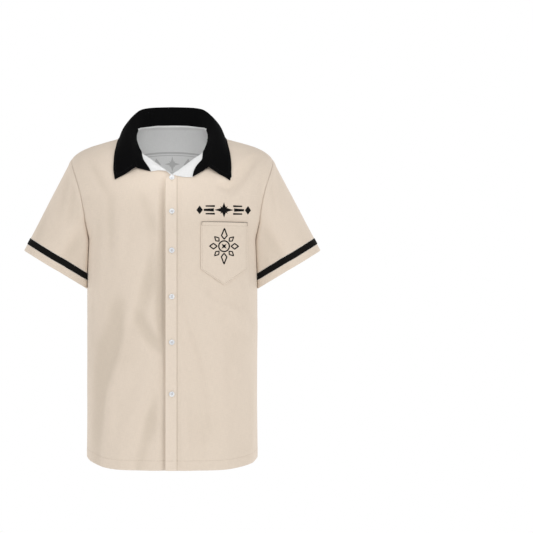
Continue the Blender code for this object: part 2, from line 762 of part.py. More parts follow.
def pocket_grid(cols, rows, stand_off):
    grid = []
    for i in range(cols + 1):
        x = POCKET_LEFT + (POCKET_RIGHT - POCKET_LEFT) * i / cols
        foot = pocket_foot(x)
        grid.append([on_torso(FRONT, x, foot + (POCKET_TOP_Z - foot) * j / rows)
                     + torso_normal(FRONT, x, foot + (POCKET_TOP_Z - foot) * j / rows) * stand_off
                     for j in range(rows + 1)])
    return np.array(grid)


pocket_points = keep_off(pocket_grid(8, 7, WALL + 0.0010), [body_tree], WALL + 0.0009)
pocket = grid_object("pocket", pocket_points, WALL, BEIGE)


# ------------------------------------------------------------ buttons
def button_mesh():
    """Half the section of a rimmed button, turned, top to bottom on +X."""
    r, h = BUTTON_RADIUS, BUTTON_HEIGHT
    profile = [(0.0, h * 0.66), (r * 0.62, h * 0.66), (r * 0.74, h * 0.96), (r * 0.88, h),
               (r, h * 0.70), (r, h * 0.30), (r * 0.86, 0.0), (0.0, 0.0)]
    mesh = bpy.data.meshes.new("button_profile")
    mesh.from_pydata([(x, 0.0, z) for x, z in profile],
                     [(i, i + 1) for i in range(len(profile) - 1)], [])
    return mesh


def hole_cutter(matrix, x, y):
    mesh = bpy.data.meshes.new("hole")
    bm = bmesh.new()
    bmesh.ops.create_cone(bm, cap_ends=True, segments=6, radius1=0.00085, radius2=0.00085,
                          depth=0.012)
    bm.to_mesh(mesh)
    bm.free()
    ob = bpy.data.objects.new("hole", mesh)
    cutters.objects.link(ob)
    ob.matrix_world = matrix @ Matrix.Translation((x, y, 0)) @ Matrix.Rotation(0.21, 4, "Z")
    ob.hide_render = True
    ob.display_type = "WIRE"
    return ob


profile_mesh = button_mesh()
for number, z in enumerate(BUTTON_Z, 1):
    y = torso_y(FRONT, BUTTON_X, z) - LAP_RISE
    n = torso_normal(FRONT, BUTTON_X, z)
    name = "button_%d" % number
    mesh = profile_mesh.copy()
    mesh.materials.append(material(name, PEARL, 0.25))
    ob = bpy.data.objects.new(name, mesh)
    shirt.objects.link(ob)
    ob.parent = hold
    place = (Matrix.Translation(Vector((BUTTON_X, y, z)) + Vector(map(float, n)) * 0.0005)
             @ Vector(map(float, n)).to_track_quat("Z", "Y").to_matrix().to_4x4())
    ob.matrix_world = place
    turn = ob.modifiers.new("turn", "SCREW")
    turn.angle = 2 * math.pi
    turn.steps = 20
    turn.render_steps = 20
    turn.axis = "Z"
    turn.use_merge_vertices = True
    turn.merge_threshold = 0.00001
    turn.use_smooth_shade = True
    weld = ob.modifiers.new("weld", "WELD")
    weld.merge_threshold = 0.00001
    for hx, hy in ((1, 1), (-1, 1), (-1, -1), (1, -1)):
        cut = ob.modifiers.new("hole", "BOOLEAN")
        cut.operation = "DIFFERENCE"
        cut.solver = "EXACT"
        cut.object = hole_cutter(place, hx * 0.00125, hy * 0.00125)

bpy.data.meshes.remove(profile_mesh)
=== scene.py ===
"""Looks of a short-sleeved bowling shirt, filled out with no wearer.

Metres, in the frame of the CAD model: +Z up, the front faces -Y, the origin is
midway between the high shoulder points.  Every cloth piece is a thin shell on
the form of its CAD solid, with creases, hems, seams and stitches of its own.
"""
import functools
import math
import bmesh
import bpy
import numpy as np
from mathutils import Matrix, Vector, noise
from mathutils.bvhtree import BVHTree
from mathutils.kdtree import KDTree


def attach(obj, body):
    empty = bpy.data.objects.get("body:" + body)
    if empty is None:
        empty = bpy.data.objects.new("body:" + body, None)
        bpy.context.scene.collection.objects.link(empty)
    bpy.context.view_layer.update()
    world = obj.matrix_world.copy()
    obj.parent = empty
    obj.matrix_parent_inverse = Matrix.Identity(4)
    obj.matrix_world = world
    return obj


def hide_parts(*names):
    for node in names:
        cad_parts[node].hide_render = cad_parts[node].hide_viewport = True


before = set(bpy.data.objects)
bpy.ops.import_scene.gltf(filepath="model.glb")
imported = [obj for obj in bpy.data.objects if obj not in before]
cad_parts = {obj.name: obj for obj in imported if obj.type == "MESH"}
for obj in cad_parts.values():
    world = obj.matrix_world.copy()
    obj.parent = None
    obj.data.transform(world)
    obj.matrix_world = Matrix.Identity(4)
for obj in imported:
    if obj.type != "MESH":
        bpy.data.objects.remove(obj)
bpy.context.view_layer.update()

# ------------------------------------------------------------ driving sizes
WALL = 0.0012            # cloth
COLLAR_WALL = 0.0016     # two layers of cloth and the interlining
SEAM = 0.0003            # gap between two pieces at a seam

RING_POWER = 2.6         # 2 would be an ellipse; larger is boxier
FRONT_BULGE_Z = -0.220   # fullest level of the chest
BACK_BULGE_Z = -0.170    # fullest level of the shoulder blades
ARMPIT_Z = -0.235
HEM_FRONT_Z = -0.711
HEM_BACK_Z = -0.714
HEM_SIDE_Z = -0.695

PLACKET_EDGE_X = -0.0140     # free edge of the upper front
UNDERLAP_EDGE_X = 0.0120     # edge of the lower front, behind the placket
LAP_RISE = 0.0007            # the upper front stands proud by this at the lap
LAP_DIP = 0.0024             # and the lower front dips by this behind it

ARMHOLE_TOP_Z = -0.0565
ARMHOLE_Y0 = 0.004
ARMHOLE_FRONT = 0.083
ARMHOLE_BACK = 0.084
ARMHOLE_POWER = 2.15

SLEEVE_CENTRE = (0.2519, 0.006, -0.2949)   # middle of the sleeve's opening
SLEEVE_SLOPE = math.radians(30.6)          # its plane leans by this
SLEEVE_HALF_WIDTH = 0.0778
SLEEVE_HALF_DEPTH = 0.0500
UNDERARM_FOLD = 0.0009
STRIPE_FROM_HEM = 0.0165
STRIPE_WIDTH = 0.0125
STRIPE_WALL = 0.0010

BUTTON_RADIUS = 0.0057
BUTTON_HEIGHT = 0.0026
BUTTON_X = -0.0010
BUTTON_Z = (-0.1055, -0.1765, -0.2565, -0.3520, -0.4460, -0.5530)

POCKET_LEFT, POCKET_RIGHT = 0.0592, 0.1562
POCKET_TOP_Z, POCKET_SIDE_Z, POCKET_POINT_Z = -0.1980, -0.2952, -0.3283

# columns of faces across each stretch of a panel, and rows up it
COLUMNS = (10, 36, 12, 30, 48)
BACK_COLUMNS = (0, 18, 14, 28, 48)
LAPEL_STEPS = (0.0, 0.09, 0.18, 0.27, 0.34, 0.39, 0.43, 0.47, 0.51, 0.55, 0.60, 0.66, 0.73, 0.81,
               0.89, 0.97, 1.05, 1.13, 1.22, 1.31, 1.40, 1.50, 1.60, 1.70, 1.80, 1.90, 2.01, 2.12,
               2.23, 2.34, 2.45, 2.56, 2.67, 2.78, 2.89, 2.95)
FRONT_ROWS, BACK_ROWS = 205, 170
ARMHOLE_COLUMNS, SLEEVE_ROWS = 48, 56

# ------------------------------------------------------------ named tables
BODY_COLUMNS = ("z", "half_width", "front_depth", "back_depth")
BODY = [
    (-0.760, 0.1832, 0.1300, 0.1270),
    (-0.600, 0.1826, 0.1305, 0.1250),
    (-0.450, 0.1822, 0.1310, 0.1235),
    (-0.320, 0.1822, 0.1318, 0.1250),
    (-0.235, 0.1838, 0.1320, 0.1285),
    (-0.2135, 0.1905, 0.1320, 0.1295),
    (-0.190, 0.2020, 0.1315, 0.1300),
    (-0.150, 0.2215, 0.1300, 0.1300),
    (-0.100, 0.2380, 0.1285, 0.1295),
    (-0.050, 0.2440, 0.1270, 0.1290),
    (0.060, 0.2480, 0.1260, 0.1285),
]

# the line of the shoulder seam, carried on across the neck, and how the cloth
# turns over it: start is how late it leaves the upright, end how full it stays;
# across the neck the back's line is rounder than the front's
SHOULDER_COLUMNS = ("x", "front_z", "back_z", "y", "front_start", "front_end",
                    "back_start", "back_end")
SHOULDER = [
    (0.0000, 0.0380, 0.0380, 0.0100, 2.00, 1.50, 2.0, 0.50),
    (0.0400, 0.0235, 0.0300, 0.0100, 2.00, 1.22, 2.0, 0.50),
    (0.0785, 0.0020, 0.0020, 0.0100, 2.00, 0.80, 2.0, 0.50),
    (0.1150, -0.0145, -0.0145, 0.0090, 2.05, 0.61, 2.1, 0.48),
    (0.1500, -0.0245, -0.0245, 0.0080, 2.15, 0.49, 2.2, 0.45),
    (0.1770, -0.0335, -0.0335, 0.0060, 2.35, 0.43, 2.4, 0.42),
    (0.1980, -0.0440, -0.0440, 0.0050, 2.70, 0.37, 2.7, 0.37),
    (0.2130, -0.0570, -0.0570, 0.0040, 2.90, 0.345, 2.9, 0.345),
    (0.2400, -0.1000, -0.1000, 0.0040, 2.90, 0.345, 2.9, 0.345),
    (0.2600, -0.1600, -0.1600, 0.0040, 2.90, 0.345, 2.9, 0.345),
]

# the upper edge of a front: from the middle along the lapel's roll line to the
# neck seam, and on up the neck seam to the high shoulder point
FRONT_NECK_COLUMNS = ("t", "x", "z")
FRONT_NECK = [
    (0.0, 0.0000, -0.0985),
    (1.0, 0.0220, -0.0826),
    (2.0, 0.0440, -0.0660),
    (3.0, 0.0655, -0.0495),
    (4.0, 0.0745, -0.0240),
    (5.0, 0.0785, 0.0020),
]

# the upper corner of the placket, left of the middle
PLACKET_TOP_COLUMNS = ("x", "z")
PLACKET_TOP = [
    (-0.0140, -0.1125),
    (-0.0120, -0.1045),
    (-0.0075, -0.1008),
    (0.0000, -0.0985),
]

BACK_NECK_COLUMNS = ("x", "z")
BACK_NECK = [
    (0.0000, 0.0190),
    (0.0300, 0.0180),
    (0.0560, 0.0135),
    (0.0720, 0.0075),
    (0.0785, 0.0020),
]

# the turned-out corner of a front: its gorge, where the collar is sewn on, and
# its free edge down to the top button
LAPEL_COLUMNS_N = ("side", "edge", "t", "x", "z")
LAPEL = [
    ("left", "gorge", 0.0, 0.0655, -0.0495),
    ("left", "gorge", 0.3, 0.0636, -0.0650),
    ("left", "gorge", 0.6, 0.0512, -0.0815),
    ("left", "gorge", 0.8, 0.0458, -0.0925),
    ("left", "gorge", 1.0, 0.0430, -0.1045),
    ("left", "free", 0.0, 0.0015, -0.1003),
    ("left", "free", 0.35, 0.0130, -0.1022),
    ("left", "free", 0.70, 0.0265, -0.1048),
    ("left", "free", 1.0, 0.0430, -0.1045),
    ("right", "gorge", 0.0, 0.0655, -0.0495),
    ("right", "gorge", 0.3, 0.0628, -0.0640),
    ("right", "gorge", 0.6, 0.0560, -0.0760),
    ("right", "gorge", 0.8, 0.0510, -0.0835),
    ("right", "gorge", 1.0, 0.0457, -0.0925),
    ("right", "free", 0.0, 0.0015, -0.0998),
    ("right", "free", 0.30, 0.0150, -0.0905),
    ("right", "free", 0.65, 0.0280, -0.0900),
    ("right", "free", 1.0, 0.0457, -0.0925),
]

# the collar, from the middle of the back to its front end: the roll line and
# the free edge, at stations along the neck seam
COLLAR_COLUMNS = ("t", "roll_x", "roll_y", "roll_z", "edge_x", "edge_y", "edge_z")
COLLAR = [
    (0.00, 0.0000, 0.0680, 0.0600, 0.0000, 0.0780, 0.0210),
    (0.14, 0.0370, 0.0630, 0.0585, 0.0430, 0.0730, 0.0190),
    (0.27, 0.0650, 0.0460, 0.0530, 0.0790, 0.0550, 0.0110),
    (0.40, 0.0825, 0.0200, 0.0375, 0.1035, 0.0270, -0.0045),
    (0.52, 0.0910, -0.0060, 0.0190, 0.1135, -0.0020, -0.0140),
    (0.66, 0.0945, -0.0380, -0.0050, 0.1185, -0.0360, -0.0370),
    (0.80, 0.0905, -0.0680, -0.0330, 0.1225, -0.0620, -0.0610),
    (0.91, 0.0830, -0.0870, -0.0600, 0.1235, -0.0800, -0.0860),
    (1.00, 0.0745, -0.0990, -0.0810, 0.1195, -0.0950, -0.1110),
]

# the foot of the roll at the collar's two front ends, below the roll line
COLLAR_END_COLUMNS = ("side", "x", "z", "stands_off")
COLLAR_END = [
    ("left", 0.0695, -0.0895, 0.0060),
    ("right", 0.0735, -0.0865, 0.0060),
]


# ------------------------------------------------------------ curves and tables
def pchip(xs, ys):
    """A smooth curve through the rows of a table that never overshoots them."""
    xs, ys = np.asarray(xs, float), np.asarray(ys, float)
    h = np.diff(xs)
    d = np.diff(ys) / h
    m = np.zeros_like(ys)
    for i in range(1, len(xs) - 1):
        if d[i - 1] * d[i] > 0:
            w1, w2 = 2 * h[i] + h[i - 1], h[i] + 2 * h[i - 1]
            m[i] = (w1 + w2) / (w1 / d[i - 1] + w2 / d[i])
    m[0], m[-1] = d[0], d[-1]

    def curve(x):
        x = min(max(x, xs[0]), xs[-1])
        i = min(max(int(np.searchsorted(xs, x)) - 1, 0), len(xs) - 2)
        t = (x - xs[i]) / h[i]
        return float((2 * t**3 - 3 * t**2 + 1) * ys[i]
                     + (t**3 - 2 * t**2 + t) * h[i] * m[i]
                     + (-2 * t**3 + 3 * t**2) * ys[i + 1]
                     + (t**3 - t**2) * h[i] * m[i + 1])
    return curve


def curve_of(names, rows, key, value, **only):
    """One column of a table as a smooth curve of another."""
    for name, wanted in only.items():
        rows = [r for r in rows if r[names.index(name)] == wanted]
    rows = sorted(rows, key=lambda r: r[names.index(key)])
    return pchip([r[names.index(key)] for r in rows],
                 [r[names.index(value)] for r in rows])


half_width = curve_of(BODY_COLUMNS, BODY, "z", "half_width")
front_depth = curve_of(BODY_COLUMNS, BODY, "z", "front_depth")
back_depth = curve_of(BODY_COLUMNS, BODY, "z", "back_depth")
front_ridge = curve_of(SHOULDER_COLUMNS, SHOULDER, "x", "front_z")
back_ridge = curve_of(SHOULDER_COLUMNS, SHOULDER, "x", "back_z")
shoulder_y = curve_of(SHOULDER_COLUMNS, SHOULDER, "x", "y")
turn_over = {name: curve_of(SHOULDER_COLUMNS, SHOULDER, "x", name)
             for name in SHOULDER_COLUMNS[4:]}
front_neck_x = curve_of(FRONT_NECK_COLUMNS, FRONT_NECK, "t", "x")
front_neck_z = curve_of(FRONT_NECK_COLUMNS, FRONT_NECK, "t", "z")
placket_top_z = curve_of(PLACKET_TOP_COLUMNS, PLACKET_TOP, "x", "z")
back_neck_z = curve_of(BACK_NECK_COLUMNS, BACK_NECK, "x", "z")
collar_curve = {name: curve_of(COLLAR_COLUMNS, COLLAR, "t", name)
                for name in COLLAR_COLUMNS[1:]}


def smooth(t):
    t = min(max(t, 0.0), 1.0)
    return t * t * (3 - 2 * t)


def resample(points, fractions):
    """Points at the given shares of a polyline's length."""
    p = np.asarray(points, float)
    s = np.concatenate([[0], np.cumsum(np.linalg.norm(np.diff(p, axis=0), axis=1))])
    return np.stack([np.interp(np.asarray(fractions) * s[-1], s, p[:, k])
                     for k in range(p.shape[1])], axis=1)


# ------------------------------------------------------------ the torso's form
FRONT, BACK = -1, 1


def shoulder_z(x, side=FRONT):
    """Height of the line that the cloth turns over, at a place across the body."""
    x = abs(x)
    if side == FRONT or x >= 0.0785:
        return front_ridge(x)
    return back_ridge(x)


def torso_y(side, x, z):
    """Depth of the cloth's outer face at a place on the front or the back."""
    x = abs(x)
    b = front_depth(z) if side == FRONT else back_depth(z)
    q = min(x / half_width(z), 1.0)
    r = b * (1.0 - q ** RING_POWER) ** (1.0 / RING_POWER)
    bulge = FRONT_BULGE_Z if side == FRONT else BACK_BULGE_Z
    if z <= bulge:
        return side * r
    which = "front" if side == FRONT else "back"
    k = min(max((z - bulge) / (shoulder_z(x, side) - bulge), 0.0), 1.0)
    g = (1.0 - k ** turn_over[which + "_start"](x)) ** turn_over[which + "_end"](x)
    return shoulder_y(x) * (1.0 - g) + side * g * r


def on_torso(side, x, z):
    return np.array([x, torso_y(side, x, z), z])


def torso_normal(side, x, z, step=0.0015):
    """The way out of the cloth at a place."""
    x0, x1 = x - step, x + step
    gx = (torso_y(side, x1, z) - torso_y(side, x0, z)) / (2 * step)
    gz = (torso_y(side, x, z + step) - torso_y(side, x, z - step)) / (2 * step)
    n = np.array([-gx, 1.0, -gz]) * side
    return n / np.linalg.norm(n)


def torso_x(y, z):
    """How far out the outer face lies at a depth and a height."""
    if abs(y) < 1e-6 and z <= ARMPIT_Z + 1e-6:
        return half_width(z)
    side = FRONT if y < shoulder_y(0.21) else BACK
    lo, hi = 0.02, 0.25
    for _ in range(44):
        mid = 0.5 * (lo + hi)
        if shoulder_z(mid) < z or side * torso_y(side, mid, z) < side * y:
            hi = mid
        else:
            lo = mid
    return 0.5 * (lo + hi)


@functools.lru_cache(maxsize=None)
def armhole_point(theta):
    """The armhole seam: 0 at the shoulder, pi at the underarm, + down the front."""
    c, s = math.cos(theta), math.sin(theta)
    e = 2.0 / ARMHOLE_POWER
    middle = 0.5 * (ARMHOLE_TOP_Z + ARMPIT_Z)
    half = 0.5 * (ARMHOLE_TOP_Z - ARMPIT_Z)
    reach = ARMHOLE_FRONT if s > 0 else ARMHOLE_BACK
    z = middle + half * math.copysign(abs(c) ** e, c)
    y = ARMHOLE_Y0 * 0.5 * (1 + c)
    if abs(s) > 1e-9:
        y -= reach * math.copysign(abs(s) ** e, s)
    elif c < 0:
        y = 0.0
    return (torso_x(y, z), y, z)


def armhole(theta):
    return np.array(armhole_point(round(theta, 9)))


def hem_z(side, x):
    q = min(abs(x) / half_width(-0.70), 1.0)
    if side == FRONT:
        return HEM_FRONT_Z + (HEM_SIDE_Z - HEM_FRONT_Z) * q ** 7
    return HEM_BACK_Z + (HEM_SIDE_Z - HEM_BACK_Z) * q ** 4.5


def ring_share(side):
    """Share of the way round the armpit ring, from the middle, as x / half width."""
    q = np.sin(np.linspace(0, math.pi / 2, 400)) ** (2 / RING_POWER)
    a = half_width(ARMPIT_Z)
    b = front_depth(ARMPIT_Z) if side == FRONT else back_depth(ARMPIT_Z)
    y = b * (1 - q ** RING_POWER).clip(0) ** (1 / RING_POWER)
    s = np.concatenate([[0], np.cumsum(np.hypot(np.diff(q * a), np.diff(y)))])
    return q, s / s[-1]


def panel_column(side, foot_q, foot_x, top):
    """The outer face from the hem up to a point of the upper edge."""
    path = []
    for t in np.linspace(0, 1, 70):
        x = foot_x if foot_x is not None else foot_q * half_width(
            HEM_FRONT_Z + (ARMPIT_Z - HEM_FRONT_Z) * t)
        foot = hem_z(side, x)
        z = foot + (ARMPIT_Z - foot) * t
        path.append(on_torso(side, x, z))
    start_x = path[-1][0]
    tx, ty, tz = top
    if tz > ARMPIT_Z + 1e-5:
        share = (tz - ARMPIT_Z) / (shoulder_z(tx, side) - ARMPIT_Z)
        for t in np.linspace(0, 1, 90)[1:]:
            h = math.sin(t * math.pi / 2)
            x = start_x + (tx - start_x) * t
            z = ARMPIT_Z + (shoulder_z(x, side) - ARMPIT_Z) * share * h
            path.append(on_torso(side, x, z))
    path[-1] = np.array([tx, ty, tz])
    return path


HEM_ROWS = (0.0, 0.0009, 0.0022, 0.0045, 0.0080, 0.0120, 0.0155, 0.0180, 0.0193, 0.0206,
            0.0225, 0.0260)


def row_shares(path, rows):
    """Rows of faces: close together over the hem, then even up to the top."""
    length = float(np.linalg.norm(np.diff(path, axis=0), axis=1).sum())
    low = [h / length for h in HEM_ROWS]
    return np.concatenate([low, np.linspace(low[-1], 1, rows + 1 - len(low) + 1)[1:]])


def panel(side, inner_x, columns=None, rows=None):
    """Half a body panel on +X, from inner_x to the side seam, as a grid of points.

    inner_x is the free edge of a front, or 0 for the middle of the back.
    Rows run up each column; the columns' tops follow the neck, the shoulder and
    the armhole in turn.
    """
    lap, lapel, neck, shoulder, arm = columns
    tops, feet_q, feet_x = [], [], []
    q_table, s_table = ring_share(side)

    def foot(share):
        return float(np.interp(share, s_table, q_table))

    def share_of(x):
        return float(np.interp(abs(x) / half_width(ARMPIT_Z), q_table, s_table))

    if side == FRONT:
        for i in range(lap):
            x = inner_x * (1 - i / lap)
            z = placket_top_z(x) if inner_x < 0 else FRONT_NECK[0][2]
            tops.append(on_torso(side, x, z))
            feet_q.append(None)
            feet_x.append(x)
        for t in LAPEL_STEPS:
            x, z = front_neck_x(t), front_neck_z(t)
            tops.append(on_torso(side, x, z))
            feet_q.append(foot(share_of(0.060) * t / 3.0))
            feet_x.append(None)
        for i in range(neck):
            t = 3.0 + 2.0 * i / neck
            x, z = front_neck_x(t), front_neck_z(t)
            tops.append(on_torso(side, x, z))
            feet_q.append(foot(share_of(0.060 + 0.018 * i / neck)))
            feet_x.append(None)
    else:
        n = lapel + neck
        for i in range(n):
            t = i / n
            x = 0.0785 * math.sin(t * math.pi / 2) ** 0.9
            tops.append(on_torso(side, x, back_neck_z(x)))
            feet_q.append(foot(share_of(0.078 * t)))
            feet_x.append(None)
    s0, s1 = share_of(0.078), share_of(0.150)
    end_x = armhole(0.0)[0]
    for i in range(shoulder):
        t = i / shoulder
        x = 0.0785 + (end_x - 0.0785) * t
        tops.append(np.array([x, shoulder_y(x), shoulder_z(x)]))
        feet_q.append(foot(s0 + (s1 - s0) * t))
        feet_x.append(None)
    b = front_depth(ARMPIT_Z) if side == FRONT else back_depth(ARMPIT_Z)
    y1 = abs(torso_y(side, 0.150, ARMPIT_Z))
    y_side = 0.88 * abs(armhole(-side * math.pi / 2)[1])
    for i in range(arm + 1):
        t = i / arm
        top = armhole(-side * math.pi * t)
        # the columns hang nearly straight down from the armhole
        y = y1 + (y_side - y1) * 2 * t if t < 0.5 else 0.88 * abs(top[1])
        # and are spread a little where the armhole's edge runs straight down
        spread = 0.45 * smooth((t - 0.2) / 0.2) * smooth((0.85 - t) / 0.25)
        y += spread * (y1 * (1 - t) - y)
        tops.append(top)
        feet_q.append((1 - (y / b) ** RING_POWER) ** (1 / RING_POWER))
        feet_x.append(None)
    grid = []
    for top, q, x in zip(tops, feet_q, feet_x):
        if q is not None and q < 1e-9:
            q, x = None, 0.0
        path = np.array(panel_column(side, q, x, top))
        grid.append(resample(path, row_shares(path, rows)))
    grid = np.array(grid)
    grid[-1, :, 1] = 0.0
    # the last columns keep apart all the way down
    for k in (-3, -2):
        for j in range(grid.shape[1]):
            x, y, z = grid[k, j]
            least = abs(grid[k - 1, j, 1]) * (0.62 if k == -3 else 0.5)
            if z < ARMPIT_Z and abs(y) < least:
                depth = front_depth(z) if side == FRONT else back_depth(z)
                grid[k, j, 0] = half_width(z) * (1 - (least / depth) ** RING_POWER) ** (1 / RING_POWER)
                grid[k, j, 1] = side * least
    return grid


def inset(grid, first=0.0, last=0.0, foot=0.0, top=0.0):
    """Draw the edges of a grid of points in along its own lines."""
    g = np.array(grid)

    def pull(a, b, by):
        d = b - a
        n = np.linalg.norm(d, axis=-1, keepdims=True)
        return a + d / np.maximum(n, 1e-9) * np.minimum(by, 0.45 * n)
    if first:
        g[0] = pull(g[0], grid[1], first)
    if last:
        g[-1] = pull(g[-1], grid[-2], last)
    if foot:
        g[:, 0] = pull(g[:, 0], g[:, 1].copy(), foot)
    if top:
        g[:, -1] = pull(g[:, -1], g[:, -2].copy(), top)
    return g


def mirrored(grid):
    return np.asarray(grid) * np.array([-1.0, 1.0, 1.0])

def lap_shift(grid, over):
    """Part the two fronts where one lies over the other."""
    g = np.array(grid)
    for i in range(len(g)):
        for j in range(len(g[0])):
            x = g[i, j, 0]
            if over:
                g[i, j, 1] -= LAP_RISE * smooth((0.044 - x) / 0.022)
            else:
                g[i, j, 1] += LAP_DIP * smooth((x + 0.034) / 0.020)
    return g

# ------------------------------------------------------------ sleeves
def sleeve_hem(theta):
    c, s = math.cos(theta), math.sin(theta)
    cx, cy, cz = SLEEVE_CENTRE
    return np.array([cx + SLEEVE_HALF_WIDTH * c * math.cos(SLEEVE_SLOPE),
                     cy - SLEEVE_HALF_DEPTH * s,
                     cz + SLEEVE_HALF_WIDTH * c * math.sin(SLEEVE_SLOPE)])


def sleeve_point(theta, t):
    """t is 0 at the armhole seam and 1 at the hem."""
    a, h = armhole(theta), sleeve_hem(theta)
    p = a + (h - a) * t
    # under the arm the cloth folds back on itself and hangs just off the body
    under = smooth((-math.cos(theta) + 0.15) / 0.75)
    p[0] += under * (0.0005 + UNDERARM_FOLD * smooth(t / 0.15)) * (1 - smooth((t - 0.45) / 0.55))
    return p


def sleeve_angles(n):
    return [math.pi * i / n for i in range(2 * n)]


def signed(theta):
    return theta if theta <= math.pi else theta - 2 * math.pi


def stripe_share(theta, above):
    """Where on a sleeve line a plane that runs along the hem crosses it."""
    n = np.array([-math.sin(SLEEVE_SLOPE), 0.0, math.cos(SLEEVE_SLOPE)])
    rise = float(np.dot(armhole(theta) - np.array(SLEEVE_CENTRE), n))
    return 1.0 - above / rise


def outwards(grid, closed=True):
    """Unit normals of a grid of points that is closed the first way."""
    g = np.asarray(grid)
    du = np.roll(g, -1, 0) - np.roll(g, 1, 0)
    if not closed:
        du[0], du[-1] = g[1] - g[0], g[-1] - g[-2]
    dv = np.gradient(g, axis=1)
    n = np.cross(du, dv)
    return n / np.linalg.norm(n, axis=-1, keepdims=True)


def sleeve_grid(angles, rows):
    return np.array([[sleeve_point(signed(a), t) for t in np.linspace(0, 1, rows + 1)]
                     for a in angles])


def stripe_grid(angles, rows, stand_off):
    base = np.array([[sleeve_point(signed(a), stripe_share(signed(a), d))
                      for d in np.linspace(STRIPE_FROM_HEM + STRIPE_WIDTH, STRIPE_FROM_HEM,
                                           rows + 1)] for a in angles])
    return base + outwards(base) * stand_off

# ------------------------------------------------------------ turned-out corners
def lapel_grid(which, cols, rows):
    """The turned-out corner of a front, from the roll line to its free edge."""
    gx = curve_of(LAPEL_COLUMNS_N, LAPEL, "t", "x", side=which, edge="gorge")
    gz = curve_of(LAPEL_COLUMNS_N, LAPEL, "t", "z", side=which, edge="gorge")
    fx = curve_of(LAPEL_COLUMNS_N, LAPEL, "t", "x", side=which, edge="free")
    fz = curve_of(LAPEL_COLUMNS_N, LAPEL, "t", "z", side=which, edge="free")
    grid = []
    for i in range(cols + 1):
        u = i / cols
        roll = np.array([front_neck_x(3 * u), front_neck_z(3 * u)])
        free = np.array([fx(u), fz(u)])
        line = []
        for j in range(rows + 1):
            v = j / rows
            # a patch between the roll line, the free edge and the gorge
            ruled = roll + (free - roll) * v
            bend = (np.array([gx(v), gz(v)])
                    - (np.array([gx(0), gz(0)]) * (1 - v) + np.array([gx(1), gz(1)]) * v))
            x, z = ruled + bend * u
            # it lifts off the front in a soft roll and lies down at its edge
            off = 0.0022 + (0.0020 * math.sin(math.pi * min(v * 1.15, 1.0)) * smooth(u * 2)
                            * (1 - smooth((u - 0.65) / 0.35)))
            n = torso_normal(FRONT, x, z)
            line.append(on_torso(FRONT, x, z) + n * off)
        grid.append(line)
    return np.array(grid)

# ------------------------------------------------------------ collar
def neck_seam(t, which):
    """The neck seam from the middle of the back (0) to the collar's end (1)."""
    if t < 0.42:
        x = 0.0785 * math.sin(t / 0.42 * math.pi / 2) ** 0.95 if t > 0 else 0.0
        z = back_neck_z(x)
        return on_torso(BACK, x, z), torso_normal(BACK, x, z)
    if t < 0.72:
        k = 5.0 - 2.0 * (t - 0.42) / 0.30
        x, z = front_neck_x(k), front_neck_z(k)
    else:
        k = (t - 0.72) / 0.28
        x = curve_of(LAPEL_COLUMNS_N, LAPEL, "t", "x", side=which, edge="gorge")(k)
        z = curve_of(LAPEL_COLUMNS_N, LAPEL, "t", "z", side=which, edge="gorge")(k)
    return on_torso(FRONT, x, z), torso_normal(FRONT, x, z)


def spacing(points):
    """Where each knot of a curve falls, as a share from 0 to 1."""
    p = np.asarray(points, float)
    s = np.concatenate([[0], np.cumsum(np.linalg.norm(np.diff(p, axis=0), axis=1) ** 0.6)])
    return s / s[-1]


def through(points, shares):
    """A smooth curve through a few points, read at the given shares."""
    p, s = np.asarray(points, float), spacing(points)
    out = []
    n = len(p)
    for q in shares:
        i = min(int(np.searchsorted(s, q, side="right")) - 1, n - 2)
        i = max(i, 0)
        h = s[i + 1] - s[i]
        t = (q - s[i]) / h

        def slope(k):
            if k == 0:
                return (p[1] - p[0]) / (s[1] - s[0])
            if k == n - 1:
                return (p[-1] - p[-2]) / (s[-1] - s[-2])
            return (p[k + 1] - p[k - 1]) / (s[k + 1] - s[k - 1])
        m0, m1 = slope(i) * h, slope(i + 1) * h
        out.append((2 * t**3 - 3 * t**2 + 1) * p[i] + (t**3 - 2 * t**2 + t) * m0
                   + (-2 * t**3 + 3 * t**2) * p[i + 1] + (t**3 - t**2) * m1)
    return np.array(out)


def straight(points, share):
    """The same knots joined by straight lines."""
    p, s = np.asarray(points, float), spacing(points)
    return np.array([np.interp(share, s, p[:, k]) for k in range(3)])


def collar_line(t, which, shares):
    """One line across the collar: up the stand, over the roll, down the leaf."""
    seam, normal = neck_seam(t, which)
    lift = 0.0007 + 0.0022 * smooth((t - 0.34) / 0.10) + 0.0017 * smooth((t - 0.56) / 0.14)
    seam = seam + normal * lift
    if t < 0.46:
        seam = seam + np.array([0, 0, 0.0004])
    c = {k: f(t) for k, f in collar_curve.items()}
    roll = np.array([c["roll_x"], c["roll_y"], c["roll_z"]])
    edge = np.array([c["edge_x"], c["edge_y"], c["edge_z"]])
    inward = np.array([seam[0] - edge[0], seam[1] - edge[1], 0.0])
    inward /= max(np.linalg.norm(inward), 1e-9)
    stand = seam + (roll - seam) * 0.62 + inward * 0.0010
    # towards its front end the collar folds sharply and its leaf lies straight
    ending = smooth((t - 0.84) / 0.16)
    _, x, z, off = next(r for r in COLLAR_END if r[0] == which)
    foot = on_torso(FRONT, x, z) + torso_normal(FRONT, x, z) * off
    stand = stand + (foot - stand) * ending
    leaf = roll + (edge - roll) * 0.42 + (np.array([0, 0, 0.0030]) - inward * 0.0050) * (1 - ending)
    knots = [seam, stand, roll, leaf, edge]
    rounded = through(knots, shares)
    folded = np.array([straight(knots, q) for q in shares])
    return rounded + (folded - rounded) * ending


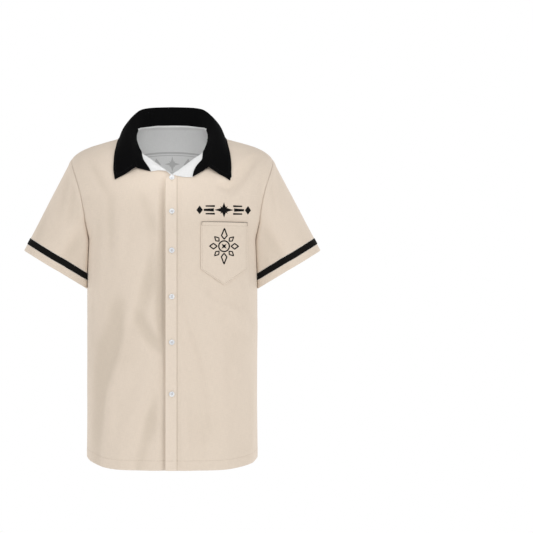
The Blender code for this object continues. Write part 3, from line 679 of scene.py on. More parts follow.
def collar_grid(half_columns, shares):
    ts = [math.sin(i / half_columns * math.pi / 2) ** 1.0 * 0.5 + 0.5 * i / half_columns
          for i in range(half_columns + 1)]
    left = [collar_line(t, "left", shares) for t in ts]
    right = [collar_line(t, "right", shares) for t in ts]
    return np.array([mirrored(line) for line in right[::-1]] + left[1:])


def tree_of(grids):
    verts, faces = [], []
    for g, flip in grids:
        base = len(verts)
        nu, nv = len(g), len(g[0])
        verts += [Vector(map(float, p)) for line in g for p in line]
        for i in range(nu - 1):
            for j in range(nv - 1):
                a, b = base + i * nv + j, base + (i + 1) * nv + j
                q = (a, b, b + 1, a + 1)
                faces.append(q[::-1] if flip else q)
    return BVHTree.FromPolygons(verts, faces)


def keep_off(grid, trees, least):
    """Move points out until they stand clear of the cloth below them."""
    g = np.array(grid)
    for i in range(len(g)):
        for j in range(len(g[0])):
            need = least[j] if hasattr(least, "__len__") else least
            for tree in trees:
                p = Vector(map(float, g[i, j]))
                hit, normal, _, _ = tree.find_nearest(p)
                gap = (p - hit).dot(normal)
                if gap < need:
                    g[i, j] = np.array(p + normal * (need - gap))
    return g

# ------------------------------------------------------------ pocket
def pocket_foot(x):
    middle = 0.5 * (POCKET_LEFT + POCKET_RIGHT)
    k = abs(x - middle) / (0.5 * (POCKET_RIGHT - POCKET_LEFT))
    return POCKET_POINT_Z + (POCKET_SIDE_Z - POCKET_POINT_Z) * k


def pocket_grid(cols, rows, stand_off):
    grid = []
    for i in range(cols + 1):
        x = POCKET_LEFT + (POCKET_RIGHT - POCKET_LEFT) * i / cols
        foot = pocket_foot(x)
        grid.append([on_torso(FRONT, x, foot + (POCKET_TOP_Z - foot) * j / rows)
                     + torso_normal(FRONT, x, foot + (POCKET_TOP_Z - foot) * j / rows) * stand_off
                     for j in range(rows + 1)])
    return np.array(grid)



# ------------------------------------------------------------ creases
# Each crease is a line over the cloth, as knots of (place, place, depth,
# half_width) in millimetres: depth is how far the cloth moves, out if above 0.
# On "front" and "back" a place is (x, z); on a sleeve it is the angle round it
# in degrees (0 on top, + down the front) and the share of the way to the hem in
# hundredths.  skew makes one flank steeper than the other.
CREASES = [
    # the fronts, beside the placket
    ("under", -0.5, [(-18, -104, -0.8, 4), (-18, -125, -2.6, 5), (-18, -170, -3.6, 5.5),
                     (-17, -230, -4.0, 6), (-17, -300, -5.2, 8.5), (-17, -360, -6.0, 9.5),
                     (-17, -400, -5.6, 9), (-17, -450, -3.2, 7), (-16, -520, -2.2, 5),
                     (-16, -610, -2.0, 4), (-16, -712, -2.0, 4)]),
    ("front", 0.0, [(-40, -170, 0, 9), (-42, -240, -1.0, 11), (-44, -310, -1.2, 12),
                    (-42, -380, 0, 10)]),
    ("front", 0.0, [(-84, -372, 0, 9), (-66, -400, -2.4, 11), (-50, -428, -3.8, 12),
                    (-36, -452, -3.0, 11), (-30, -480, 0, 9)]),
    # right front: a long hollow out to the side and a ridge inside it
    ("front", -0.2, [(-88, -318, 0, 14), (-104, -372, -3.6, 16), (-118, -425, -4.4, 18),
                     (-136, -490, -4.2, 19), (-150, -560, -3.6, 18), (-157, -640, -3.0, 17),
                     (-160, -712, -2.2, 15)]),
    ("front", 0.1, [(-30, -455, 0, 12), (-44, -500, 3.0, 15), (-64, -556, 4.2, 18),
                    (-86, -612, 4.0, 19), (-104, -668, 3.0, 18), (-112, -712, 2.0, 18)]),
    ("front", 0.0, [(-34, -505, 0, 9), (-40, -560, -3.0, 12), (-50, -625, -3.4, 14),
                    (-62, -680, -2.6, 14), (-68, -712, -2.0, 13)]),
    ("front", 0.0, [(-34, -235, 0, 12), (-48, -300, -2.4, 15), (-62, -355, -2.8, 15),
                    (-78, -405, -1.6, 14), (-88, -450, 0, 12)]),
    ("front", 0.0, [(-66, -215, 0, 18), (-80, -300, 2.4, 20), (-92, -380, 2.2, 20),
                    (-98, -450, 0, 16)]),
    ("front", 0.0, [(-112, -130, 0, 10), (-108, -180, 1.4, 12), (-110, -240, 1.4, 12),
                    (-116, -300, 0, 10)]),
    ("front", 0.0, [(-128, -140, 0, 9), (-126, -200, -1.5, 11), (-128, -260, -1.2, 11),
                    (-134, -310, 0, 10)]),
    ("front", 0.2, [(-150, -165, 0, 7), (-157, -215, -0.8, 8), (-162, -270, -1.1, 9),
                    (-165, -335, -0.9, 9), (-166, -400, 0, 8)]),
    ("front", 0.0, [(-150, -250, 0, 8), (-152, -310, 0.8, 9), (-155, -375, 0.8, 9),
                    (-158, -430, 0, 8)]),
    ("front", 0.0, [(-132, -520, 0, 8), (-128, -580, 1.4, 10), (-130, -640, 1.4, 10),
                    (-134, -700, 0.6, 10)]),
    # the left shoulder: a hollow slanting in from its top, one beside the armhole, a fold between, and one under
    # the collar's point
    ("front", 0.3, [(186, -52, 0, 6), (166, -63, -3.4, 8), (142, -92, -4.8, 9), (124, -118, -3.0, 9),
                    (112, -138, 0, 9)]),
    ("front", 0.0, [(197, -82, 0, 4), (190, -112, -2.4, 6), (186, -150, -2.0, 6), (184, -190, 0, 5)]),
    ("front", 0.0, [(186, -78, 0, 6), (172, -105, 2.4, 8), (160, -140, 1.8, 9), (152, -172, 0, 9)]),
    ("front", 0.2, [(92, -114, 0, 7), (106, -124, -2.6, 9), (124, -118, -2.2, 9), (138, -106, 0, 8)]),
    # from the neck and the shoulder
    ("front", 0.0, [(-70, -118, 0, 8), (-58, -150, -1.5, 10), (-46, -190, -1.8, 11),
                    (-38, -230, 0, 10)]),
    ("front", 0.2, [(-178, -62, 0, 6), (-164, -84, -1.8, 8), (-148, -112, -2.0, 9),
                    (-132, -142, -1.2, 9), (-120, -170, 0, 8)]),
    ("front", -0.2, [(178, -58, 0, 6), (166, -74, -2.2, 8), (152, -94, -2.8, 9),
                     (136, -118, -2.2, 10), (118, -136, -1.2, 9), (104, -144, 0, 8)]),
    ("front", 0.0, [(176, -96, 0, 6), (162, -112, 1.2, 7), (146, -134, 1.5, 8),
                    (130, -156, 0.8, 8), (116, -170, 0, 7)]),
    ("front", 0.0, [(92, -112, 0, 6), (104, -121, -1.8, 7), (116, -126, -1.6, 7),
                    (128, -124, 0, 6)]),
    ("front", 0.0, [(48, -118, 0, 8), (44, -150, -1.4, 10), (36, -190, -1.4, 11),
                    (30, -235, 0, 9)]),
    # left front: below the pocket and out to the side
    ("front", 0.2, [(62, -330, 0, 9), (78, -338, -3.2, 11), (92, -350, -4.0, 12),
                    (112, -358, -3.4, 12), (138, -366, -3.2, 12), (160, -386, -2.4, 11),
                    (172, -420, 0, 9)]),
    ("front", 0.0, [(108, -380, 0, 10), (128, -392, 2.0, 12), (148, -412, 2.0, 12),
                    (162, -445, 0, 10)]),
    ("front", -0.25, [(13, -345, 0, 8), (18, -385, -2.6, 10), (27, -425, -3.8, 12),
                      (40, -468, -3.8, 13), (54, -515, -2.8, 14), (64, -570, -1.6, 13),
                      (70, -630, 0, 11)]),
    ("front", 0.0, [(50, -370, 0, 14), (62, -415, 2.6, 16), (78, -470, 3.8, 18),
                    (90, -530, 2.8, 18), (98, -600, 1.4, 16), (102, -712, 1.0, 15)]),
    ("front", 0.0, [(40, -540, 0, 8), (45, -600, -2.2, 10), (50, -655, -2.6, 11),
                    (54, -712, -1.8, 11)]),
    ("front", 0.0, [(20, -560, 0, 8), (25, -620, 1.6, 9), (30, -712, 1.2, 9)]),
    ("front", 0.0, [(148, -480, 0, 14), (150, -560, -2.6, 18), (146, -630, -3.6, 20),
                    (140, -712, -3.6, 20)]),
    ("front", 0.0, [(170, -520, 0, 8), (170, -600, 1.4, 9), (168, -712, 1.4, 9)]),
    ("front", 0.2, [(158, -160, 0, 6), (162, -210, -0.9, 8), (165, -270, -1.2, 8),
                    (167, -335, -1.0, 8), (168, -395, 0, 7)]),
    ("front", 0.0, [(146, -170, 0, 7), (149, -230, 0.8, 8), (153, -300, 0.9, 8),
                    (156, -350, 0, 7)]),
    ("front", 0.0, [(128, -440, 0, 9), (124, -500, -1.6, 11), (120, -560, -1.2, 11),
                    (116, -610, 0, 9)]),
    # puckers at the buttons, and one across the placket between two of them
    ("front", 0.0, [(-13, -353, -0.5, 3), (-6, -352, -0.7, 3), (10, -353, -0.6, 3),
                    (17, -356, 0, 3)]),
    ("front", 0.0, [(-13, -371, -0.9, 3.2), (-4, -374, -1.3, 3.2), (7, -378, -0.8, 3.2),
                    (14, -380, 0, 3)]),
    ("front", 0.0, [(-13, -404, -0.4, 3.5), (-2, -408, -1.1, 3.5), (9, -409, -0.9, 3.5),
                    (16, -407, 0, 3)]),
    ("front", 0.0, [(-13, -528, -0.6, 3.2), (-4, -529, -1.2, 3.2), (8, -533, -0.8, 3.2),
                    (15, -537, 0, 3)]),
    ("front", 0.0, [(-13, -208, -0.2, 3.6), (-3, -214, -0.8, 3.6), (8, -222, -0.8, 3.6),
                    (16, -229, 0, 3)]),
    ("front", 0.0, [(-13, -296, -0.2, 3.6), (-3, -300, -0.7, 3.6), (9, -307, -0.7, 3.6),
                    (17, -312, 0, 3)]),
    ("front", 0.0, [(-14, -140, -0.3, 4), (-2, -146, -0.8, 4), (10, -155, -0.6, 4),
                    (18, -163, 0, 3)]),
    ("front", 0.0, [(10, -624, -0.3, 4), (0, -628, -0.8, 4), (-12, -636, -0.5, 4)]),
    # the back
    ("back", 0.2, [(150, -165, 0, 10), (152, -240, -2.2, 12), (150, -330, -3.4, 14),
                   (148, -440, -4.2, 16), (150, -560, -4.2, 17), (153, -650, -3.6, 17),
                   (154, -716, -3.0, 16)]),
    ("back", 0.0, [(118, -230, 0, 11), (116, -330, 2.6, 13), (116, -450, 3.0, 14),
                   (120, -580, 2.6, 15), (124, -716, 1.6, 14)]),
    ("back", 0.0, [(16, -452, 0, 22), (6, -510, -3.6, 28), (-8, -580, -4.4, 31),
                   (-16, -655, -3.8, 30), (-18, -716, -3.2, 28)]),
    ("back", 0.0, [(66, -400, 0, 20), (70, -500, 3.0, 22), (76, -610, 3.0, 23),
                   (80, -716, 2.0, 22)]),
    ("back", 0.0, [(-66, -455, 0, 15), (-82, -540, -2.6, 17), (-94, -640, -3.0, 18),
                   (-100, -716, -2.2, 17)]),
    ("back", 0.0, [(-60, -610, 0, 12), (-58, -660, 2.0, 14), (-60, -716, 2.0, 14)]),
    ("back", 0.3, [(-157, -140, 0, 5), (-160, -200, -2.0, 6), (-161, -265, -2.4, 6.5),
                   (-163, -330, -1.6, 6.5), (-164, -390, 0, 6)]),
    ("back", 0.0, [(-148, -160, 0, 5), (-150, -230, 1.6, 6), (-152, -310, 1.4, 6),
                   (-154, -375, 0, 5.5)]),
    ("back", 0.0, [(-138, -200, 0, 6), (-139, -270, -1.4, 7), (-141, -350, -1.2, 7),
                   (-143, -420, 0, 6)]),
    ("back", 0.0, [(-104, -235, 0, 10), (-106, -330, 2.2, 12), (-108, -440, 2.4, 13),
                   (-111, -550, 1.2, 12), (-114, -640, 0, 11)]),
    ("back", 0.0, [(-138, -470, 0, 12), (-141, -560, -3.0, 14), (-142, -650, -3.0, 15),
                   (-142, -716, -2.4, 14)]),
    ("back", 0.15, [(170, -78, 0, 6), (154, -98, -1.8, 8), (136, -122, -2.2, 9),
                    (114, -146, -1.6, 10), (92, -162, 0, 9)]),
    ("back", -0.15, [(-172, -72, 0, 6), (-156, -92, -2.0, 8), (-138, -118, -2.4, 9),
                     (-118, -146, -1.6, 10), (-98, -170, 0, 9)]),
    ("back", 0.0, [(34, -130, 0, 16), (38, -210, -1.9, 19), (34, -300, -2.0, 20),
                   (28, -390, 0, 18)]),
    ("back", 0.0, [(-42, -150, 0, 16), (-44, -240, 1.6, 18), (-38, -330, 1.8, 19),
                   (-30, -420, 0, 18)]),
    ("back", 0.0, [(82, -190, 0, 10), (86, -260, -1.8, 12), (88, -340, -1.8, 13),
                   (92, -430, 0, 12)]),
    ("back", 0.0, [(168, -170, 0, 6), (169, -240, -1.8, 7), (171, -320, -1.6, 7),
                   (171, -390, 0, 6)]),
    ("back", 0.0, [(52, -20, 0, 8), (70, -36, -1.3, 9), (92, -46, -1.2, 9), (112, -50, 0, 8)]),
    ("back", 0.0, [(-56, -18, 0, 8), (-74, -34, -1.3, 9), (-96, -42, -1.2, 9),
                   (-116, -48, 0, 8)]),
    # the wearer's left sleeve, front and back
    ("sleeve_left", 0.0, [(34, 3, -0.4, 5), (43, 14, -2.0, 7), (54, 30, -2.0, 8),
                          (62, 46, 0, 7)]),
    ("sleeve_left", 0.2, [(62, 2, -0.3, 5), (68, 12, -2.2, 6), (75, 26, -2.0, 7),
                          (82, 40, 0, 7)]),
    ("sleeve_left", 0.0, [(118, 8, 0, 8), (112, 30, -2.6, 10), (106, 55, -3.2, 12),
                          (101, 80, -2.4, 12), (98, 100, -1.6, 12)]),
    ("sleeve_left", 0.0, [(94, 14, 0, 8), (88, 38, 2.0, 10), (82, 62, 2.4, 12),
                          (78, 86, 1.6, 12), (76, 100, 0.8, 12)]),
    ("sleeve_left", 0.0, [(136, 24, 0, 6), (133, 48, -2.6, 8), (131, 72, -3.0, 9),
                          (130, 100, -1.6, 9)]),
    ("sleeve_left", 0.0, [(40, 58, 0, 8), (44, 78, -1.5, 10), (47, 100, -1.1, 10)]),
    ("sleeve_left", 0.0, [(-40, 3, -0.3, 5), (-50, 16, -2.0, 7), (-60, 34, -1.8, 8),
                          (-66, 50, 0, 7)]),
    ("sleeve_left", 0.0, [(-72, 4, -0.2, 6), (-78, 18, -1.7, 7), (-85, 34, -1.4, 8),
                          (-90, 48, 0, 7)]),
    ("sleeve_left", 0.0, [(-120, 12, 0, 8), (-112, 36, -2.8, 11), (-105, 62, -3.0, 12),
                          (-100, 100, -1.6, 12)]),
    ("sleeve_left", 0.0, [(-96, 20, 0, 9), (-89, 46, 2.0, 11), (-84, 74, 1.8, 12),
                          (-80, 100, 0.8, 12)]),
    ("sleeve_left", 0.0, [(-10, 20, 0, 8), (-6, 45, 1.2, 10), (-4, 75, 0.8, 11), (-2, 100, 0, 10)]),
    # the wearer's right sleeve
    ("sleeve_right", 0.0, [(38, 3, -0.4, 5), (48, 15, -2.4, 7), (58, 32, -2.4, 8),
                           (66, 52, 0, 8)]),
    ("sleeve_right", -0.2, [(64, 2, -0.4, 5), (72, 13, -2.4, 6.5), (81, 28, -2.4, 7.5),
                            (90, 46, 0, 7)]),
    ("sleeve_right", 0.0, [(84, 4, -0.2, 5), (91, 16, -1.5, 6), (99, 30, 0, 6)]),
    ("sleeve_right", 0.0, [(122, 14, 0, 8), (116, 38, -2.8, 10), (110, 62, -3.0, 12),
                           (104, 100, -1.6, 12)]),
    ("sleeve_right", 0.0, [(98, 24, 0, 9), (90, 48, 2.2, 11), (84, 74, 2.2, 12),
                           (80, 100, 1.0, 12)]),
    ("sleeve_right", 0.0, [(136, 20, 0, 6), (134, 46, -2.4, 8), (132, 72, -2.6, 9),
                           (131, 100, -1.4, 9)]),
    ("sleeve_right", 0.0, [(30, 50, 0, 8), (36, 74, -1.7, 10), (40, 100, -1.2, 10)]),
    ("sleeve_right", 0.0, [(-36, 3, -0.3, 5), (-47, 17, -2.2, 7), (-58, 36, -2.0, 8),
                           (-64, 54, 0, 7)]),
    ("sleeve_right", 0.0, [(-68, 4, -0.3, 6), (-76, 20, -1.8, 7), (-84, 38, -1.4, 8),
                           (-88, 52, 0, 7)]),
    ("sleeve_right", 0.0, [(-118, 10, 0, 8), (-111, 34, -3.0, 11), (-104, 60, -3.2, 12),
                           (-98, 100, -1.6, 12)]),
    ("sleeve_right", 0.0, [(-92, 24, 0, 9), (-86, 50, 2.0, 11), (-82, 76, 1.6, 12),
                           (-79, 100, 0.6, 12)]),
]

UNDERARM = (np.array([0.184, 0.0, -0.235]), np.array([0.184, 0.0, -0.360]))


def normals_of(grid, closed=False, flip=False):
    """Unit normals out of the cloth at each point of a grid."""
    return outwards(grid, closed) * (-1.0 if flip else 1.0)


def corner_areas(grid, closed=False):
    """The area of cloth that belongs to each point of a grid."""
    g = np.concatenate([grid, grid[:1]]) if closed else np.asarray(grid)
    q = 0.25 * np.linalg.norm(np.cross(g[1:, 1:] - g[:-1, :-1], g[:-1, 1:] - g[1:, :-1]), axis=2) / 2
    out = np.zeros(g.shape[:2])
    for i, j in ((0, 0), (0, 1), (1, 0), (1, 1)):
        out[i:i + q.shape[0], j:j + q.shape[1]] += q
    if closed:
        out[0] += out[-1]
        out = out[:-1]
    return out


def steady(grid, normals, radius, closed=False):
    """Normals that take in the cloth all round each point, where columns crowd together."""
    p = np.asarray(grid).reshape(-1, 3)
    n = np.asarray(normals).reshape(-1, 3)
    area = corner_areas(grid, closed).ravel()
    tree = KDTree(len(p))
    for k, q in enumerate(p.tolist()):
        tree.insert(q, k)
    tree.balance()
    out = np.empty_like(n)
    for k, q in enumerate(p.tolist()):
        near = tree.find_range(q, radius)
        ids = [h[1] for h in near]
        w = area[ids] * (1 - np.array([h[2] for h in near]) / radius) + 1e-12
        m = n[ids]
        w = w * (m @ n[k] > -0.2)
        s = w @ m
        out[k] = s / max(np.linalg.norm(s), 1e-12)
    return out.reshape(np.shape(normals))


def between(knots, steps):
    """A smooth line through knots of any width, evenly stepped in each stretch."""
    p = np.asarray(knots, float)
    q = np.concatenate([[2 * p[0] - p[1]], p, [2 * p[-1] - p[-2]]])
    t = np.linspace(0, 1, steps, endpoint=False)[:, None]
    out = []
    for a, b, c, d in zip(q, q[1:], q[2:], q[3:]):
        out.append(0.5 * (2 * b + (c - a) * t + (2 * a - 5 * b + 4 * c - d) * t**2
                          + (3 * b - a - 3 * c + d) * t**3))
    return np.concatenate(out + [p[-1:]])


class Crease:
    def __init__(self, points, normals, depth, half_width, skew=0.0, on=("body", "sleeve")):
        self.points = np.asarray(points, float)
        self.normals = np.asarray(normals, float)
        self.along = np.gradient(self.points, axis=0)
        self.along /= np.linalg.norm(self.along, axis=1, keepdims=True)
        self.depth = np.asarray(depth, float)
        self.half_width = np.asarray(half_width, float)
        self.skew, self.on = skew, on

    def at(self, points):
        """How far this crease moves the cloth at each point."""
        reach = 2.2 * self.half_width.max() * (1 + abs(self.skew))
        moved = np.zeros(len(points))
        lo, hi = self.points.min(0) - reach, self.points.max(0) + reach
        near = np.nonzero(((points > lo) & (points < hi)).all(1))[0]
        if not len(near):
            return moved
        p = points[near]
        d2 = ((p ** 2).sum(1)[:, None] + (self.points ** 2).sum(1)[None]
              - 2 * p @ self.points.T)
        k = d2.argmin(1)
        best = np.full(len(p), np.inf)
        where = np.zeros(len(p))
        for first in (k - 1, k):
            i = first.clip(0, len(self.points) - 2)
            a, ab = self.points[i], self.points[i + 1] - self.points[i]
            t = (((p - a) * ab).sum(1) / (ab * ab).sum(1)).clip(0, 1)
            d = np.linalg.norm(p - a - ab * t[:, None], axis=1)
            closer = d < best
            best = np.where(closer, d, best)
            where = np.where(closer, i + t, where)
        knots = np.arange(len(self.points))
        depth, half_width = (np.interp(where, knots, v) for v in (self.depth, self.half_width))
        across = np.cross(self.normals[k], self.along[k])
        lean = ((p - self.points[k]) * across).sum(1) / half_width
        width = half_width * (1 + self.skew * lean.clip(-1, 1))
        share = (best / (2 * width)).clip(0, 1)
        moved[near] = depth * 0.5 * (1 + np.cos(np.pi * share))
        return moved


def sleeve_place(side, theta, t):
    """A point of a sleeve's outer face and the way out of it there."""
    s = 1.0 if side == "left" else -1.0
    p = sleeve_point(theta, t)
    du = sleeve_point(theta + 0.01, t) - sleeve_point(theta - 0.01, t)
    dv = sleeve_point(theta, min(t + 0.01, 1)) - sleeve_point(theta, max(t - 0.01, 0))
    n = np.cross(du, dv)
    n /= np.linalg.norm(n)
    m = np.array([s, 1.0, 1.0])
    return p * m, n * m


def made_crease(where, skew, knots):
    line = between(knots, 14)
    points, normals = [], []
    for a, b, _, _ in line:
        if where.startswith("sleeve"):
            p, n = sleeve_place(where[7:], math.radians(a), min(max(b / 100, 0), 1))
        else:
            side = BACK if where == "back" else FRONT
            p = on_torso(side, a / 1000, b / 1000)
            n = torso_normal(side, a / 1000, b / 1000)
        points.append(p)
        normals.append(n)
    on = ("sleeve",) if where.startswith("sleeve") else ("under",) if where == "under" else ("body",)
    depth = line[:, 2] / 1000 * (0.6 if on == ("sleeve",) else 1.0)
    return Crease(points, normals, depth, line[:, 3] / 1000, skew, on)


creases = [made_crease(*c) for c in CREASES]

# seams lie in a shallow groove that puckers a little along its length
def seam_groove(points, normals, depth, half_width, pucker, pitch, on, seed):
    points = np.asarray(points, float)
    s = np.concatenate([[0], np.cumsum(np.linalg.norm(np.diff(points, axis=0), axis=1))])
    wave = np.array([noise.noise(Vector((v / pitch, seed, 0.3))) for v in s])
    ends = np.clip(np.minimum(s, s[-1] - s) / 0.030, 0, 1) if on != ("body",) else 1.0
    creases.append(Crease(points, normals, -depth * (1 + 0.5 * wave) * ends,
                          np.full(len(s), half_width), on=on))
    creases.append(Crease(points, normals, pucker * wave * ends, np.full(len(s), 2.6 * half_width),
                          on=on))


for sign in (1, -1):
    zs = np.linspace(HEM_SIDE_Z, ARMPIT_Z - 0.012, 240)
    seam_groove([(sign * half_width(z), 0.0, z) for z in zs], [(sign, 0, 0)] * len(zs),
                0.0006, 0.0022, 0.0006, 0.012, ("body",), 3.1 * sign)
    xs = np.linspace(0.0785, armhole(0.0)[0], 90)
    seam_groove([(sign * x, shoulder_y(x), shoulder_z(x)) for x in xs], [(0, 0, 1)] * len(xs),
                0.0005, 0.0022, 0.00015, 0.011, ("body",), 5.7 * sign)


def ripple(points):
    """Broad unevenness of cloth that hangs, and a finer rumple on it."""
    out = np.empty(len(points))
    for k, p in enumerate(points):
        x, y, z = map(float, p)
        out[k] = (0.0011 * noise.noise(Vector((x * 9 + 3.1, y * 9, z * 4.5)))
                  + 0.00055 * noise.noise(Vector((x * 24, y * 24 + 7.7, z * 13)))
                  + 0.00014 * noise.noise(Vector((x * 80, y * 80, z * 62 + 1.9))))
    return out


def body_calm(points):
    """0 where a sleeve hangs against the body's side, 1 elsewhere."""
    a, b = UNDERARM
    p = np.abs(np.asarray(points)) * np.array([1, 1, 0]) + np.asarray(points) * np.array([0, 0, 1])
    t = (((p - a) @ (b - a)) / ((b - a) @ (b - a))).clip(0, 1)
    d = np.linalg.norm(p - (a + t[:, None] * (b - a)), axis=1)
    s = ((d - 0.026) / 0.034).clip(0, 1)
    return s * s * (3 - 2 * s)


def moved(points, normals, on, calm=None):
    """How far all the creases together move the cloth."""
    points = np.asarray(points, float).reshape(-1, 3)
    total = ripple(points)
    for c in creases:
        if on in c.on or (on == "under" and "body" in c.on):
            total += c.at(points)
    if calm is not None:
        total = total * calm
    return total


# at the armhole both pieces move the same way, so that the seam stays shut
def seam_directions():
    angles = [math.pi * i / 48 for i in range(96)]
    points = np.array([armhole(signed(a)) for a in angles])
    normals = []
    for a, p in zip(angles, points):
        a = signed(a)
        _, n1 = sleeve_place("left", a, 0.02)
        side = FRONT if a >= 0 else BACK
        x, z = p[0] * 0.985, p[2] - 0.003 if abs(a) < 0.4 else p[2]
        n2 = torso_normal(side, x, min(z, shoulder_z(x) - 0.004))
        m = n1 + n2
        normals.append(m / np.linalg.norm(m))
    return points, np.array(normals)


ARM_POINTS, ARM_NORMALS = seam_directions()


def turned(points, normals, reach=0.018):
    """Normals that agree along both armholes."""
    p = np.asarray(points, float).reshape(-1, 3)
    n = np.array(normals, float).reshape(-1, 3)
    for sign in (1, -1):
        m = np.array([sign, 1.0, 1.0])
        d2 = ((p[:, None, :] - (ARM_POINTS * m)[None]) ** 2).sum(2) if len(p) < 4000 else None
        if d2 is None:
            q = ARM_POINTS * m
            d2 = (p ** 2).sum(1)[:, None] + (q ** 2).sum(1)[None] - 2 * p @ q.T
        k = d2.argmin(1)
        d = np.sqrt(d2[np.arange(len(p)), k].clip(0))
        w = (1 - d / reach).clip(0, 1)
        w = (w * w * (3 - 2 * w))[:, None]
        n = n * (1 - w) + (ARM_NORMALS * m)[k] * w
        n /= np.linalg.norm(n, axis=1, keepdims=True)
    return n


for sign in (1, -1):
    m = np.array([sign, 1.0, 1.0])
    keep = [k for k in range(96) if abs(signed(math.pi * k / 48)) < math.radians(150)]
    keep = sorted(keep, key=lambda k: signed(math.pi * k / 48))
    fine = between([tuple(ARM_POINTS[k]) for k in keep], 4)
    ways = between([tuple(ARM_NORMALS[k]) for k in keep], 4)
    ways /= np.linalg.norm(ways, axis=1, keepdims=True)
    seam_groove(fine * m, ways * m, 0.0007, 0.0020, 0.0006, 0.012, ("body", "sleeve"),
                8.3 * sign)
    # the sleeve head is eased in, so it stands a little proud beside the seam
    head = [signed(math.pi * k / 48) for k in keep]
    line = [sleeve_place("left" if sign > 0 else "right", a, 0.045) for a in head]
    ease = [0.0008 * smooth((math.radians(120) - abs(a)) / 0.6) for a in head]
    creases.append(Crease([p for p, _ in line], [n for _, n in line], ease,
                          np.full(len(line), 0.0042), on=("sleeve",)))


# ------------------------------------------------------------ thin shells
def loop_of(nu, nv, closed):
    """The edges of a grid, as closed loops of (i, j)."""
    if closed:
        return [[(i, 0) for i in range(nu)], [(i, nv - 1) for i in range(nu)][::-1]]
    return [[(i, 0) for i in range(nu)] + [(nu - 1, j) for j in range(1, nv)]
            + [(i, nv - 1) for i in range(nu - 2, -1, -1)] + [(0, j) for j in range(nv - 2, 0, -1)]]


def arc_lengths(grid, closed=False):
    """Cut coordinates of each point in metres: across from the first column, and up."""
    du = np.linalg.norm(np.diff(grid, axis=0), axis=2)
    dv = np.linalg.norm(np.diff(grid, axis=1), axis=2)
    u = np.concatenate([np.zeros((1, grid.shape[1])), np.cumsum(du, 0)])
    v = np.concatenate([np.zeros((grid.shape[0], 1)), np.cumsum(dv, 1)], axis=1)
    return u, v


def cut_lines(grid, normals, axis=None, flat=None, closed=False):
    """Where each point lies on the flat cut: across the grain and along it, in metres.

    The grain runs up the body, or along axis on a sleeve, or as flat says on a flat piece.
    """
    n = np.asarray(normals)
    if flat is not None:
        across = np.broadcast_to(np.asarray(flat, float), n.shape)
    elif axis is not None:
        across = np.cross(np.asarray(axis, float), n)
    else:
        level = np.cross([0.0, 0.0, 1.0], n)
        level /= np.maximum(np.linalg.norm(level, axis=-1, keepdims=True), 1e-9)
        w = ((n[..., 2:] - 0.35) / 0.4).clip(0, 1)
        side = np.where(n[..., 1:2] <= 0, 1.0, -1.0) * np.array([1.0, 0.0, 0.0])
        across = level * (1 - w) + side * w
    across = across - n * (across * n).sum(-1, keepdims=True)
    across /= np.maximum(np.linalg.norm(across, axis=-1, keepdims=True), 1e-9)
    along = np.cross(n, across)

    def steps(way, axis_of):
        g, t = np.asarray(grid), way
        if axis_of == 0:
            return ((g[1:] - g[:-1]) * 0.5 * (t[1:] + t[:-1])).sum(-1)
        return ((g[:, 1:] - g[:, :-1]) * 0.5 * (t[:, 1:] + t[:, :-1])).sum(-1)
    u = np.zeros(n.shape[:2])
    v = np.zeros(n.shape[:2])
    u[0, 1:] = np.cumsum(steps(across, 1)[0])
    u[1:] = u[0] + np.cumsum(steps(across, 0), 0)
    v[1:, 0] = np.cumsum(steps(along, 0)[:, 0])
    v[:, 1:] = v[:, :1] + np.cumsum(steps(along, 1), 1)
    return np.stack([u, v], -1)


